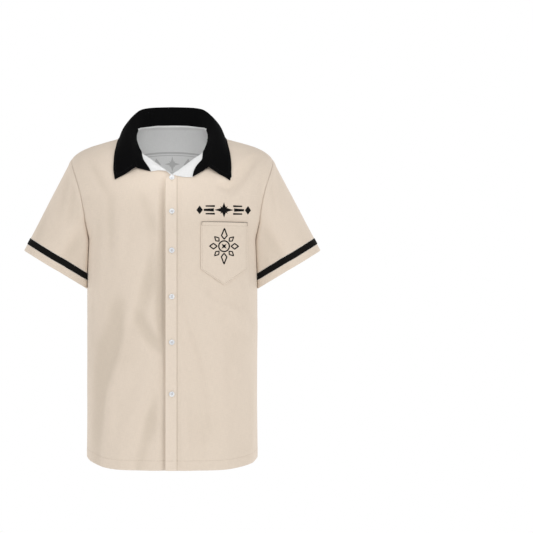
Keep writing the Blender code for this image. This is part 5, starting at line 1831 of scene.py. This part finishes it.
first_arm = sum(COLUMNS[:4])
back_arm = sum(BACK_COLUMNS[:4])
half = back_half.shape[0]
for side, sign in (("left", 1), ("right", -1)):
    fg, fn = (left_grid, left_normals) if sign > 0 else (right_grid, right_normals)
    if sign > 0:
        bg, bn = back_grid[half - 1:], back_normals[half - 1:]
    else:
        bg, bn = back_grid[:half][::-1], back_normals[:half][::-1]
    inside_f, inside_b = fg - fn * (THIN + 0.0004), bg - bn * (THIN + 0.0004)
    shares = np.linspace(0.045, 0.99, 110)
    lines = [inside_f[i] for i in (-5, -4, -3, -2, -1)] + [inside_b[i] for i in (-1, -2, -3, -4, -5)]
    # a tape starts above the hem, which is turned over it
    grid = np.stack([resample(a, shares) for a in lines], 1)
    inward = np.array([-sign, 0.0, 0.0])
    seam_tape("seam_side_" + side, grid, inward)
    shoulder_f = slice(sum(COLUMNS[:3]) + 1, first_arm)
    shoulder_b = slice(sum(BACK_COLUMNS[:3]) + 1, back_arm)
    shares = np.linspace(0.0, 1.0, 40)
    lines = [inside_f[shoulder_f, j] for j in (-3, -2, -1)] + [inside_b[shoulder_b, j] for j in (-1, -2, -3)]
    grid = np.stack([resample(a, shares) for a in lines], 1)
    seam_tape("seam_shoulder_" + side, grid, np.array([0.0, 0.0, -1.0]))
    # round the armhole: + angles are the front's
    ring_f = [inside_f[first_arm:, j] for j in (-3, -2, -1)]
    ring_b = [inside_b[back_arm:, j] for j in (-3, -2, -1)]
    rings = [np.concatenate([a, b[::-1][1:-1]]) for a, b in zip(ring_f, ring_b)]
    sg, sn = sleeve_grids[side], sleeve_walls[side]
    inside_s = sg - sn * (THIN + 0.0004)
    rings += [inside_s[:, j] for j in (0, 1, 2)]
    if all(len(r) == 96 for r in rings):
        grid = np.stack(rings, 1)
        seam_tape("seam_armhole_" + side, grid, np.array([-sign, 0.0, 0.0]), closed=True)


def down_from_top(line, ways, depths):
    """Places on the inside of the cloth at some distances below its upper edge."""
    s = np.concatenate([[0], np.cumsum(np.linalg.norm(np.diff(line[::-1], axis=0), axis=1))])
    out = []
    for t in depths:
        p = np.array([np.interp(t, s, line[::-1, k]) for k in range(3)])
        n = np.array([np.interp(t, s, ways[::-1, k]) for k in range(3)])
        out.append(p - n / np.linalg.norm(n) * (THIN + 0.0003))
    return out


# the binding goes round from one front to the other, over the ends of the shoulder seams
DEPTHS = (0.0003, 0.0028, 0.0055, 0.0082)
corner = sum(COLUMNS[:3])
back_neck = [i for i in range(back_grid.shape[0]) if abs(back_grid[i, -1, 0]) < 0.0765]
ring = [down_from_top(left_grid[i], left_normals[i], DEPTHS) for i in range(corner - 9, corner)]
ring += [down_from_top(back_grid[i], back_normals[i], DEPTHS) for i in back_neck[::-1]]
ring += [down_from_top(right_grid[i], right_normals[i], DEPTHS)
         for i in range(corner - 9, corner)][::-1]
binding_grid = np.array(ring)
centre = np.array([0.0, -0.01, -0.02]) - binding_grid
centre /= np.linalg.norm(centre, axis=-1, keepdims=True)
binding = seam_tape("neck_binding", binding_grid, centre, wall=0.0007, material=wrong_side)


# ------------------------------------------------------------ stitches
def surface_point(tree, side, x, z, lift):
    p, n = on_torso(side, x, z), torso_normal(side, x, z)
    q, m = land(tree, p, n, 0.0)
    return q + n * lift, n


class Threads:
    """Many short stitches as one piece: each is a slim spindle that dips at its ends."""

    def __init__(self):
        self.points, self.faces = [], []

    def stitch(self, a, b, way, radius):
        a, b, way = (np.asarray(v, float) for v in (a, b, way))
        along = b - a
        size = np.linalg.norm(along)
        if size < 1e-6:
            return
        along = along / size
        side = np.cross(along, way)
        side /= max(np.linalg.norm(side), 1e-9)
        up = np.cross(side, along)
        first = len(self.points)
        self.points.append(a - up * radius * 0.8)
        for share in (0.16, 0.5, 0.84):
            swell = radius * (0.86 if share != 0.5 else 1.0)
            centre = a + along * size * share + up * radius * (0.15 if share != 0.5 else 0.35)
            for s, u in ((1, 0), (0, 1), (-1, 0), (0, -1)):
                self.points.append(centre + side * s * swell + up * u * swell)
        self.points.append(b - up * radius * 0.8)
        for k in range(4):
            m = (k + 1) % 4
            self.faces.append((first, first + 1 + k, first + 1 + m))
            for ring in (0, 1):
                c = first + 1 + ring * 4
                self.faces.append((c + k, c + 4 + k, c + 4 + m, c + m))
            self.faces.append((first + 9 + k, first + 13, first + 9 + m))

    def row(self, points, ways, length=0.0023, gap=0.0006, radius=0.00017):
        """Stitches one after another along a line."""
        p = np.asarray(points, float)
        w = np.asarray(ways, float)
        s = np.concatenate([[0], np.cumsum(np.linalg.norm(np.diff(p, axis=0), axis=1))])
        at = 0.0005
        while at + length < s[-1]:
            a = np.array([np.interp(at, s, p[:, k]) for k in range(3)])
            b = np.array([np.interp(at + length, s, p[:, k]) for k in range(3)])
            n = np.array([np.interp(at, s, w[:, k]) for k in range(3)])
            self.stitch(a, b, n / np.linalg.norm(n), radius)
            at += length + gap

    def piece(self, name, material, slot, node_piece=None):
        mesh = bpy.data.meshes.new(name)
        mesh.from_pydata([tuple(map(float, p)) for p in self.points], [], self.faces)
        mesh.validate()
        mesh.materials.append(material)
        mesh.shade_smooth()
        mesh.update()
        # normals outwards on every closed spindle
        bm = bmesh.new()
        bm.from_mesh(mesh)
        bmesh.ops.recalc_face_normals(bm, faces=bm.faces)
        bm.to_mesh(mesh)
        bm.free()
        ob = bpy.data.objects.new(name, mesh)
        bpy.context.scene.collection.objects.link(ob)
        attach(ob, "root")
        return ob


def line_at(grid, ways, at, first=0.0, last=1.0, closed=False, lift=0.00008):
    """A line across a piece at a distance up from its lower edge, in its grid."""
    _, v = arc_lengths(grid)
    if at < 0:
        v = v - v[:, -1:]
    pts, nrm = [], []
    for i in range(grid.shape[0]):
        pts.append([np.interp(at, v[i], grid[i, :, k]) for k in range(3)])
        nrm.append([np.interp(at, v[i], ways[i, :, k]) for k in range(3)])
    pts, nrm = np.array(pts), np.array(nrm)
    if closed:
        pts, nrm = np.concatenate([pts, pts[:1]]), np.concatenate([nrm, nrm[:1]])
    return pts + nrm * lift, nrm


sew = Threads()
for z0, z1 in ((-0.104, HEM_FRONT_Z + 0.003),):
    zs = np.arange(z0, z1, -0.0012)
    line = [surface_point(left_tree, FRONT, PLACKET_STITCH_X, z, 0.00012) for z in zs]
    sew.row([p for p, _ in line], [n for _, n in line])
p, w = line_at(left_grid, left_normals, HEM_DEPTH)
sew.row(p, w)
sew.piece("stitch_front_left", thread, "shirt_cloth")

sew = Threads()
p, w = line_at(right_grid, right_normals, HEM_DEPTH)
sew.row(p, w)
sew.piece("stitch_front_right", thread, "shirt_cloth")

sew = Threads()
p, w = line_at(back_grid, back_normals, HEM_DEPTH)
sew.row(p, w)
sew.piece("stitch_back", thread, "shirt_cloth")

# the sleeves: two rows on the stripe in black, and a pale row beyond each of its edges
for side, sign in (("left", 1), ("right", -1)):
    g, w = sleeve_grids[side], sleeve_walls[side]
    back_v = arc_lengths(g)[1]
    dark, pale = Threads(), Threads()
    stripe = sleeve_grids["stripe_" + side]
    sw = normals_of(stripe, True, sign < 0)
    for j_a, j_b, inner in ((0, 1, 0.45), (-1, -2, 0.45)):
        line = stripe[:, j_a] + (stripe[:, j_b] - stripe[:, j_a]) * inner
        ring = np.concatenate([line, line[:1]]) + np.concatenate([sw[:, j_a], sw[:1, j_a]]) * 0.0001
        dark.row(ring, np.concatenate([sw[:, j_a], sw[:1, j_a]]), 0.0022, 0.0006, 0.00016)
        out = stripe[:, j_a] - (stripe[:, j_b] - stripe[:, j_a]) * 0.62
        ring = []
        for q, m in zip(out, sw[:, j_a]):
            hit, _ = land(sleeve_trees[side], q, m)
            ring.append(hit + m * 0.00015)
        ring = np.array(ring + ring[:1])
        pale.row(ring, np.concatenate([sw[:, j_a], sw[:1, j_a]]), 0.0026, 0.00005, 0.00042)
    dark.piece("stitch_stripe_" + side, dark_thread, "trim_cloth")
    pale.piece("stitch_sleeve_" + side, white_thread, "shirt_cloth")

# the pocket: along its sides and point, along its band, and bars at its upper corners
sew = Threads()
path = [(POCKET_LEFT + 0.0021, POCKET_TOP_Z - 0.001), (POCKET_LEFT + 0.0021, POCKET_SIDE_Z + 0.0009),
        (0.5 * (POCKET_LEFT + POCKET_RIGHT), POCKET_POINT_Z + 0.0025),
        (POCKET_RIGHT - 0.0021, POCKET_SIDE_Z + 0.0009), (POCKET_RIGHT - 0.0021, POCKET_TOP_Z - 0.001)]


def stepped(path, step=0.0012):
    out = []
    for (a, b), (c, d) in zip(path, path[1:]):
        n = max(int(math.hypot(c - a, d - b) / step), 1)
        out += [(a + (c - a) * k / n, b + (d - b) * k / n) for k in range(n)]
    return out + [path[-1]]


def on_piece(tree, path, lift, side=FRONT):
    line = [surface_point(tree, side, x, z, lift) for x, z in path]
    return np.array([p for p, _ in line]), np.array([n for _, n in line])


for leg in zip(path, path[1:]):
    sew.row(*on_piece(pocket_tree, stepped(leg), 0.00010))
sew.row(*on_piece(pocket_tree, stepped([(POCKET_LEFT + 0.0022, POCKET_TOP_Z - POCKET_BAND),
                                        (POCKET_RIGHT - 0.0022, POCKET_TOP_Z - POCKET_BAND)]), 0.00010))
for x, s in ((POCKET_LEFT + 0.0014, 1), (POCKET_RIGHT - 0.0014, -1)):
    for k in range(14):
        z = POCKET_TOP_Z - 0.0012 - 0.00045 * k
        a, n = surface_point(pocket_tree, FRONT, x - 0.0008, z, 0.0002)
        b, _ = surface_point(pocket_tree, FRONT, x + 0.0008, z - 0.0002, 0.0002)
        sew.stitch(a, b, n, 0.00016)
sew.piece("stitch_pocket", thread, "shirt_cloth")

# a row of dark stitches along the pocket's very edge is a painted shadow: it stands in for the shade in the pocket's
# open mouth
sew = Threads()
top_row = pocket_grid_points[:, -1]
mouth_w = normals_of(pocket_grid_points)[:, -1]
s = np.concatenate([[0], np.cumsum(np.linalg.norm(np.diff(top_row, axis=0), axis=1))])
for at in np.arange(0.0012, s[-1] - 0.0012, 0.00052):
    p = np.array([np.interp(at, s, top_row[:, k]) for k in range(3)])
    q = np.array([np.interp(at + 0.0003, s, top_row[:, k]) for k in range(3)])
    n = np.array([np.interp(at, s, mouth_w[:, k]) for k in range(3)])
    up = np.array([0, 0, 1.0])
    sew.stitch(p + up * 0.00055 - n * 0.0001, q - up * 0.00085 + n * 0.00012, n + up * 0.3, 0.00026)
sew.piece("pocket_mouth_painted_shadow", pocket_mouth_shadow_thread, "shirt_cloth")

# the collar, five millimetres in from its edge and its ends, black on black
sew = Threads()
cv = arc_lengths(collar_pts)[1]
cv = cv[:, -1:] - cv
keep = range(3, collar_pts.shape[0] - 3)
line = np.array([[np.interp(0.0052, cv[i][::-1], collar_pts[i, ::-1, k]) for k in range(3)] for i in keep])
ways = np.array([collar_ways[i, -3] for i in keep])
sew.row(line + ways * 0.0001, ways, 0.0025, 0.0006, 0.00020)
for i in (3, collar_pts.shape[0] - 4):
    a = COLLAR_SHARES.index(0.50)
    line, ways = collar_pts[i, a:-2], collar_ways[i, a:-2]
    sew.row(line + ways * 0.0001, ways, 0.0025, 0.0006, 0.00020)
sew.piece("stitch_collar", dark_thread, "trim_cloth")

# buttonholes up the placket, worked in close bars round a slit
sew = Threads()
for z0 in BUTTON_Z:
    for k in range(25):
        z = z0 + 0.0062 - 0.00052 * k
        for s in (-1, 1):
            a, n = surface_point(left_tree, FRONT, BUTTON_X + s * 0.00022, z, 0.00012)
            b, _ = surface_point(left_tree, FRONT, BUTTON_X + s * 0.00125, z - 0.0001, 0.00012)
            sew.stitch(a, b, n, 0.00024)
    for end in (-1, 1):
        for k in range(4):
            z = z0 + end * (0.0064 + 0.00030 * k)
            a, n = surface_point(left_tree, FRONT, BUTTON_X - 0.0013, z, 0.00016)
            b, _ = surface_point(left_tree, FRONT, BUTTON_X + 0.0013, z, 0.00016)
            sew.stitch(a, b, n, 0.00022)
sew.piece("stitch_buttonholes", hole_thread, "shirt_cloth")


# ------------------------------------------------------------ buttons
def button_shape():
    """A four-hole button, bottom at 0: a dished middle in a rounded rim."""
    r, h = BUTTON_RADIUS, BUTTON_HEIGHT
    bm = bmesh.new()
    around = 44
    profile = [(0.62, 0.62), (0.66, 0.64), (0.71, 0.78), (0.76, 0.93), (0.82, 1.0), (0.88, 0.99),
               (0.94, 0.90), (0.985, 0.74), (1.0, 0.54), (0.99, 0.34), (0.95, 0.16), (0.88, 0.04),
               (0.80, 0.0), (0.62, 0.0)]
    rings = []
    for a, b in profile:
        rings.append([bm.verts.new((r * a * math.cos(2 * math.pi * k / around),
                                    r * a * math.sin(2 * math.pi * k / around), h * b))
                      for k in range(around)])
    for r0, r1 in zip(rings, rings[1:]):
        for k in range(around):
            m = (k + 1) % around
            bm.faces.new((r0[k], r1[k], r1[m], r0[m]))
    holes = []
    for hx, hy in ((1, 1), (-1, 1), (-1, -1), (1, -1)):
        cx, cy = hx * 0.00125, hy * 0.00125
        levels = []
        for size, z in ((1.22, 0.60), (1.0, 0.54), (1.0, 0.10), (1.15, 0.0)):
            levels.append([bm.verts.new((cx + 0.00082 * size * math.cos(2 * math.pi * k / 16),
                                         cy + 0.00082 * size * math.sin(2 * math.pi * k / 16), h * z))
                           for k in range(16)])
        for l0, l1 in zip(levels, levels[1:]):
            for k in range(16):
                m = (k + 1) % 16
                bm.faces.new((l0[k], l0[m], l1[m], l1[k]))
        holes.append(levels)
    for ring, level in ((rings[0], 0), (rings[-1], -1)):
        edges = []
        for loop in [ring] + [hole[level] for hole in holes]:
            for k in range(len(loop)):
                e = bm.edges.get((loop[k], loop[(k + 1) % len(loop)]))
                edges.append(e or bm.edges.new((loop[k], loop[(k + 1) % len(loop)])))
        bmesh.ops.triangle_fill(bm, use_beauty=True, use_dissolve=False, edges=edges)
    bmesh.ops.recalc_face_normals(bm, faces=bm.faces)
    mesh = bpy.data.meshes.new("button_shape")
    bm.to_mesh(mesh)
    bm.free()
    mesh.shade_smooth()
    return mesh


button_mesh = button_shape()
button_thread = thread_material("button_thread", (0.80, 0.80, 0.83), (0.66, 0.67, 0.71))
for number, z in enumerate(BUTTON_Z, 1):
    p, n = surface_point(left_tree, FRONT, BUTTON_X, z, 0.00055)
    place = (Matrix.Translation(Vector(p)) @ Vector(n).to_track_quat("Z", "Y").to_matrix().to_4x4()
             @ Matrix.Rotation(math.radians((7, -4, 11, 3, -9, 5)[number - 1]), 4, "Z"))
    mesh = button_mesh.copy()
    mesh.transform(place)
    mesh.materials.append(button_look)
    ob = bpy.data.objects.new("shirt_button_%d" % number, mesh)
    bpy.context.scene.collection.objects.link(ob)
    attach(ob, "root")
    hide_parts("button_%d" % number)
    sew = Threads()
    top = BUTTON_HEIGHT * 0.62
    for (ax, ay), (bx, by) in (((1, 1), (-1, -1)), ((-1, 1), (1, -1))):
        for off in (-0.00028, 0.0, 0.00028):
            side = Vector((-(by - ay), bx - ax, 0)).normalized() * off
            a = Vector((ax * 0.00125, ay * 0.00125, top)) + side
            b = Vector((bx * 0.00125, by * 0.00125, top)) + side
            sew.stitch(place @ a, place @ b, n, 0.00022)
        for x, y in ((ax, ay), (bx, by)):
            a = place @ Vector((x * 0.00125, y * 0.00125, top + 0.0001))
            b = place @ Vector((x * 0.00125, y * 0.00125, -0.0004))
            sew.stitch(a, b, np.array(place.to_3x3() @ Vector((1, 0, 0))), 0.00040)
    sewn = sew.piece("button_thread_%d" % number, button_thread, "button")
bpy.data.meshes.remove(button_mesh)


# ------------------------------------------------------------ printed ornament
# Line work in millimetres on the front (x, z) or the back: each stroke is a list
# of places with the ink's half width at each.
def bent(points, half, closed=False):
    pts = [(float(x), float(z)) for x, z in points]
    if closed:
        pts = pts + [pts[0]]
    return [(x, z, half) for x, z in pts]


def circle(cx, cz, r, half, a0=0.0, a1=360.0):
    n = max(int(abs(a1 - a0) / 360 * (2 * math.pi * r) / 1.6), 12)
    return [(cx + r * math.cos(math.radians(a0 + (a1 - a0) * k / n)),
             cz + r * math.sin(math.radians(a0 + (a1 - a0) * k / n)), half) for k in range(n + 1)]


def ray(cx, cz, angle, r0, r1, half0, half1, curve=1.0):
    n = max(int(abs(r1 - r0) / 1.5), 2)
    c, s = math.cos(math.radians(angle)), math.sin(math.radians(angle))
    return [(cx + c * (r0 + (r1 - r0) * k / n), cz + s * (r0 + (r1 - r0) * k / n),
             half0 + (half1 - half0) * (k / n) ** curve) for k in range(n + 1)]


def solid_star(cx, cz, arms, reach, waist, turn=0.0):
    """A filled star: one tapering ray for each arm, over a filled middle."""
    out = []
    for k in range(arms):
        angle = turn + 360.0 * k / arms
        r = reach if np.isscalar(reach) else reach[k % len(reach)]
        out.append(ray(cx, cz, angle, 0.0, r, waist, 0.05, 0.62))
    return out


def solid_diamond(cx, cz, tall, wide, turn=0.0):
    out = []
    for s in (1, -1):
        out.append(ray(cx, cz, 90 + turn if s > 0 else 270 + turn, 0.0, tall, wide, 0.05))
    return out


def kite(cx, cz, angle, r0, r1, r2, half, ink_half):
    c, s = math.cos(math.radians(angle)), math.sin(math.radians(angle))

    def at(r, w):
        return (cx + c * r - s * w, cz + s * r + c * w)
    corners = [at(r0, 0), at(r1, half), at(r2, 0), at(r1, -half), at(r0, 0)]
    pts = []
    for a, b in zip(corners, corners[1:]):
        n = max(int(math.hypot(b[0] - a[0], b[1] - a[1]) / 1.6), 2)
        pts += [(a[0] + (b[0] - a[0]) * k / n, a[1] + (b[1] - a[1]) * k / n) for k in range(n)]
    return bent(pts + [corners[-1]], ink_half)


def rule(x0, z0, x1, z1, half0, half1=None):
    n = max(int(math.hypot(x1 - x0, z1 - z0) / 1.6), 2)
    half1 = half0 if half1 is None else half1
    return [(x0 + (x1 - x0) * k / n, z0 + (z1 - z0) * k / n, half0 + (half1 - half0) * k / n)
            for k in range(n + 1)]


def back_ornament():
    strokes = []
    # a shallow band over the shoulder blades: two rails with stars and lozenges between
    radius, top = 345.0, -62.0

    def on_arc(angle, off):
        a = math.radians(90 - angle)
        return ((radius + off) * math.cos(a), top - radius + (radius + off) * math.sin(a))
    reach = 27.6
    for off, half in ((24.5, 1.9), (-24.5, 1.9), (19.0, 0.8), (-19.0, 0.8)):
        pts = [on_arc(-reach + 2 * reach * k / 190, off) for k in range(191)]
        strokes.append(bent(pts, half))
    for k in range(9):
        angle = -22.8 + 45.6 * k / 8
        x, z = on_arc(angle, 0.0)
        if k % 2 == 0:
            strokes += solid_star(x, z, 4, 17.0, 6.6, 90 - angle)
            strokes += solid_star(x, z, 4, 9.5, 4.0, 45 - angle)
        else:
            strokes += solid_diamond(x, z, 14.0, 8.6, -angle)
    for s in (-1, 1):
        x, z = on_arc(s * 26.3, 0.0)
        strokes += solid_diamond(x, z, 7.5, 4.4, -s * 26.3)
    # a many-rayed star in line work below it
    cx, cz = 0.0, -252.0
    strokes += [circle(cx, cz, 34.0, 1.7), circle(cx, cz, 27.5, 0.9)]
    strokes += solid_star(cx, cz, 4, 22.0, 6.6, 45)
    strokes += solid_star(cx, cz, 4, 13.0, 4.8, 0)
    for k in range(16):
        angle = 22.5 * k
        if k % 4 == 0:
            r2 = 118.0 if k % 8 else 112.0
            strokes.append(kite(cx, cz, angle, 40.0, 60.0, r2, 11.0, 1.6))
            strokes.append(ray(cx, cz, angle, 52.0, r2 - 22, 2.4, 0.3))
            strokes += solid_diamond(cx + (r2 + 9) * math.cos(math.radians(angle)),
                                     cz + (r2 + 9) * math.sin(math.radians(angle)), 5.5, 4.2)
        elif k % 2 == 0:
            strokes.append(kite(cx, cz, angle, 40.0, 55.0, 90.0, 8.4, 1.6))
            a = math.radians(angle)
            strokes.append(circle(cx + 99 * math.cos(a), cz + 99 * math.sin(a), 5.0, 1.4))
        else:
            strokes.append(ray(cx, cz, angle, 42.0, 64.0, 1.4, 1.4))
            a = math.radians(angle)
            strokes.append(circle(cx + 68.0 * math.cos(a), cz + 68.0 * math.sin(a), 3.2, 1.3))
    # and a rule with a lozenge to close it
    for s in (-1, 1):
        strokes.append(rule(s * 22, -398, s * 122, -398, 1.8, 1.5))
        strokes.append(rule(s * 28, -404.5, s * 104, -404.5, 0.9, 0.7))
        strokes += solid_diamond(s * 130.0, -398.0, 5.6, 4.2)
    strokes += solid_diamond(0.0, -398.0, 8.5, 6.0)
    strokes.append(bent([(0, -383), (15, -398), (0, -413), (-15, -398)], 1.5, True))
    return strokes


def name_ornament(cx, cz):
    strokes = solid_star(cx, cz, 4, [20.0, 16.0], 8.0, 0)
    strokes += solid_star(cx, cz, 4, 11.0, 5.0, 45)
    for s in (-1, 1):
        strokes.append(rule(cx + s * 21, cz, cx + s * 42, cz, 3.4, 2.2))
        strokes += solid_diamond(cx + s * 50.5, cz, 9.0, 6.6)
        strokes.append(rule(cx + s * 19, cz + 8.0, cx + s * 38, cz + 8.0, 1.9, 1.4))
        strokes.append(rule(cx + s * 19, cz - 8.0, cx + s * 38, cz - 8.0, 1.9, 1.4))
    return strokes


def pocket_ornament(cx, cz):
    strokes = [circle(cx, cz, 11.0, 1.35)]
    strokes += solid_star(cx, cz, 4, 7.4, 3.4, 45)
    for k in range(8):
        angle = 45.0 * k
        if k % 2 == 0:
            r2 = 37.0 if k % 4 else 30.0
            strokes.append(kite(cx, cz, angle, 14.6, 22.0, r2, 5.8, 1.3))
        else:
            strokes.append(kite(cx, cz, angle, 14.6, 20.0, 28.0, 4.4, 1.2))
    return strokes


def inked(name, strokes, tree, side, material, lift=0.00020, inner=False):
    points, faces, cut = [], [], []
    for stroke in strokes:
        pts = np.array(stroke, float)
        d = np.gradient(pts[:, :2], axis=0)
        if np.allclose(pts[0, :2], pts[-1, :2]) and len(pts) > 3:
            d[0] = d[-1] = (pts[1, :2] - pts[-2, :2])
        d /= np.maximum(np.linalg.norm(d, axis=1, keepdims=True), 1e-9)
        across = np.stack([-d[:, 1], d[:, 0]], 1)
        first = len(points)
        wide = pts[:, 2].max() > 1.6
        cols = (-1.0, -0.5, 0.0, 0.5, 1.0) if wide else (-1.0, 0.0, 1.0)
        for (x, z, half), (ax, az) in zip(pts, across):
            for c in cols:
                px, pz = (x + ax * half * c) / 1000, (z + az * half * c) / 1000
                p, n = surface_point(tree, side, px, pz, 0.0)
                points.append(p + n * (-(THIN + lift) if inner else lift))
                cut.append((px, pz))
        m = len(cols)
        for k in range(len(pts) - 1):
            for c in range(m - 1):
                a = first + k * m + c
                faces.append((a, a + 1, a + 1 + m, a + m))
    mesh = bpy.data.meshes.new(name)
    mesh.from_pydata([tuple(map(float, p)) for p in points], [], faces)
    layer = mesh.uv_layers.new(name="cut")
    for loop in mesh.loops:
        layer.uv[loop.index].vector = cut[loop.vertex_index]
    mesh.materials.append(material)
    for key in ("painted_light_and_shade", "edge"):
        mesh.attributes.new(key, "FLOAT", "POINT")
    mesh.update()
    # every strip faces away from the cloth
    want = Vector((0, -1 if side == FRONT else 1, 0)) * (-1 if inner else 1)
    turn = [p.index for p in mesh.polygons if p.normal.dot(want) < 0]
    if turn:
        bm = bmesh.new()
        bm.from_mesh(mesh)
        bm.faces.ensure_lookup_table()
        bmesh.ops.reverse_faces(bm, faces=[bm.faces[k] for k in turn])
        bm.to_mesh(mesh)
        bm.free()
    mesh.shade_smooth()
    ob = bpy.data.objects.new(name, mesh)
    bpy.context.scene.collection.objects.link(ob)
    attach(ob, "root")
    return ob


prints = {
    "back": inked("print_back", back_ornament(), back_tree, BACK, ink),
    # seen faintly through the cloth from inside, in the neck's opening
    "behind": inked("print_back_inside", back_ornament(), back_tree, BACK, ink_behind, inner=True),
    "front": inked("print_front", name_ornament(107.0, -173.0), left_tree, FRONT, ink),
    "pocket": inked("print_pocket", pocket_ornament(106.5, -248.0), pocket_tree, FRONT, ink),
}


# ------------------------------------------------------------ camera, light and floor
camera = bpy.data.objects.new("camera", bpy.data.cameras.new("camera"))
bpy.context.scene.collection.objects.link(camera)
camera.location = (0.0, -3.2, -0.29)
camera.rotation_euler = (math.radians(90), 0, 0)
camera.data.sensor_width = 36.0
camera.data.lens = 36.0 * 3.2 / (533 * 0.00215)
camera.data.shift_x = (266.5 - 172.3) / 533
camera.data.dof.use_dof = False
bpy.context.scene.camera = camera

scene = bpy.context.scene
scene.view_settings.view_transform = "Standard"
scene.view_settings.look = "None"
scene.view_settings.exposure = 0.0
scene.view_settings.gamma = 1.0

world = bpy.data.worlds.new("studio")
scene.world = world
world.use_nodes = True
nodes, links = world.node_tree.nodes, world.node_tree.links
nodes.clear()
seen = nodes.new("ShaderNodeBackground")
seen.inputs["Color"].default_value = (1, 1, 1, 1)
seen.inputs["Strength"].default_value = 1.0
fill = nodes.new("ShaderNodeBackground")
fill.inputs["Color"].default_value = (1.0, 1.0, 1.0, 1)
fill.inputs["Strength"].default_value = 0.72
path = nodes.new("ShaderNodeLightPath")
mix = nodes.new("ShaderNodeMixShader")
out = nodes.new("ShaderNodeOutputWorld")
links.new(path.outputs["Is Camera Ray"], mix.inputs[0])
links.new(fill.outputs[0], mix.inputs[1])
links.new(seen.outputs[0], mix.inputs[2])
links.new(mix.outputs[0], out.inputs["Surface"])


def area_light(name, place, aim, size, power):
    lamp = bpy.data.lights.new(name, "AREA")
    lamp.shape = "RECTANGLE"
    lamp.size, lamp.size_y = size
    lamp.energy = power
    ob = bpy.data.objects.new(name, lamp)
    bpy.context.scene.collection.objects.link(ob)
    ob.location = place
    ob.rotation_euler = (Vector(aim) - Vector(place)).to_track_quat("-Z", "Y").to_euler()
    return ob


# soft lamps to both sides of the front and of the back, the ones on +X stronger
for where, side in (("front", -1), ("back", 1)):
    for hand, power in ((1, 19.6), (-1, 15.0)):
        area_light("%s_soft_%s" % (where, "left" if hand > 0 else "right"),
                   (hand * 2.25, side * 2.05, -0.15), (0.0, 0.0, -0.33), (1.3, 1.5), power)
    area_light("%s_soft" % where, (0.0, side * 3.0, -0.10), (0.0, 0.0, -0.33), (1.3, 1.5), 5.5)
# a narrow lamp looks down into the neck
neck_lamp = bpy.data.lights.new("neck_spot", "SPOT")
neck_lamp.energy, neck_lamp.spot_size, neck_lamp.spot_blend = 112.0, math.radians(6.4), 0.7
neck_lamp.shadow_soft_size = 0.12
neck_spot = bpy.data.objects.new("neck_spot", neck_lamp)
scene.collection.objects.link(neck_spot)
neck_spot.location = (0.0, -2.1, 0.55)
neck_spot.rotation_euler = (Vector((0.0, 0.045, -0.045)) - neck_spot.location).to_track_quat("-Z", "Y").to_euler()

floor_mesh = bpy.data.meshes.new("floor")
ring = [(1.45 * math.cos(2 * math.pi * k / 96), 1.45 * math.sin(2 * math.pi * k / 96), -1.30)
        for k in range(96)]
floor_mesh.from_pydata(ring, [], [tuple(range(96))])
floor_look = Build("floor_look")
where = floor_look.node("ShaderNodeTexCoord").outputs["Object"]
floor_look.put(floor_look.bsdf.inputs["Base Color"],
               floor_look.mix(floor_look.noise(where, 3.0, 2.0), (0.86, 0.86, 0.85), (0.90, 0.90, 0.89)))
floor_look.bsdf.inputs["Roughness"].default_value = 0.8
floor_mesh.materials.append(floor_look.material)
floor = bpy.data.objects.new("floor", floor_mesh)
scene.collection.objects.link(floor)
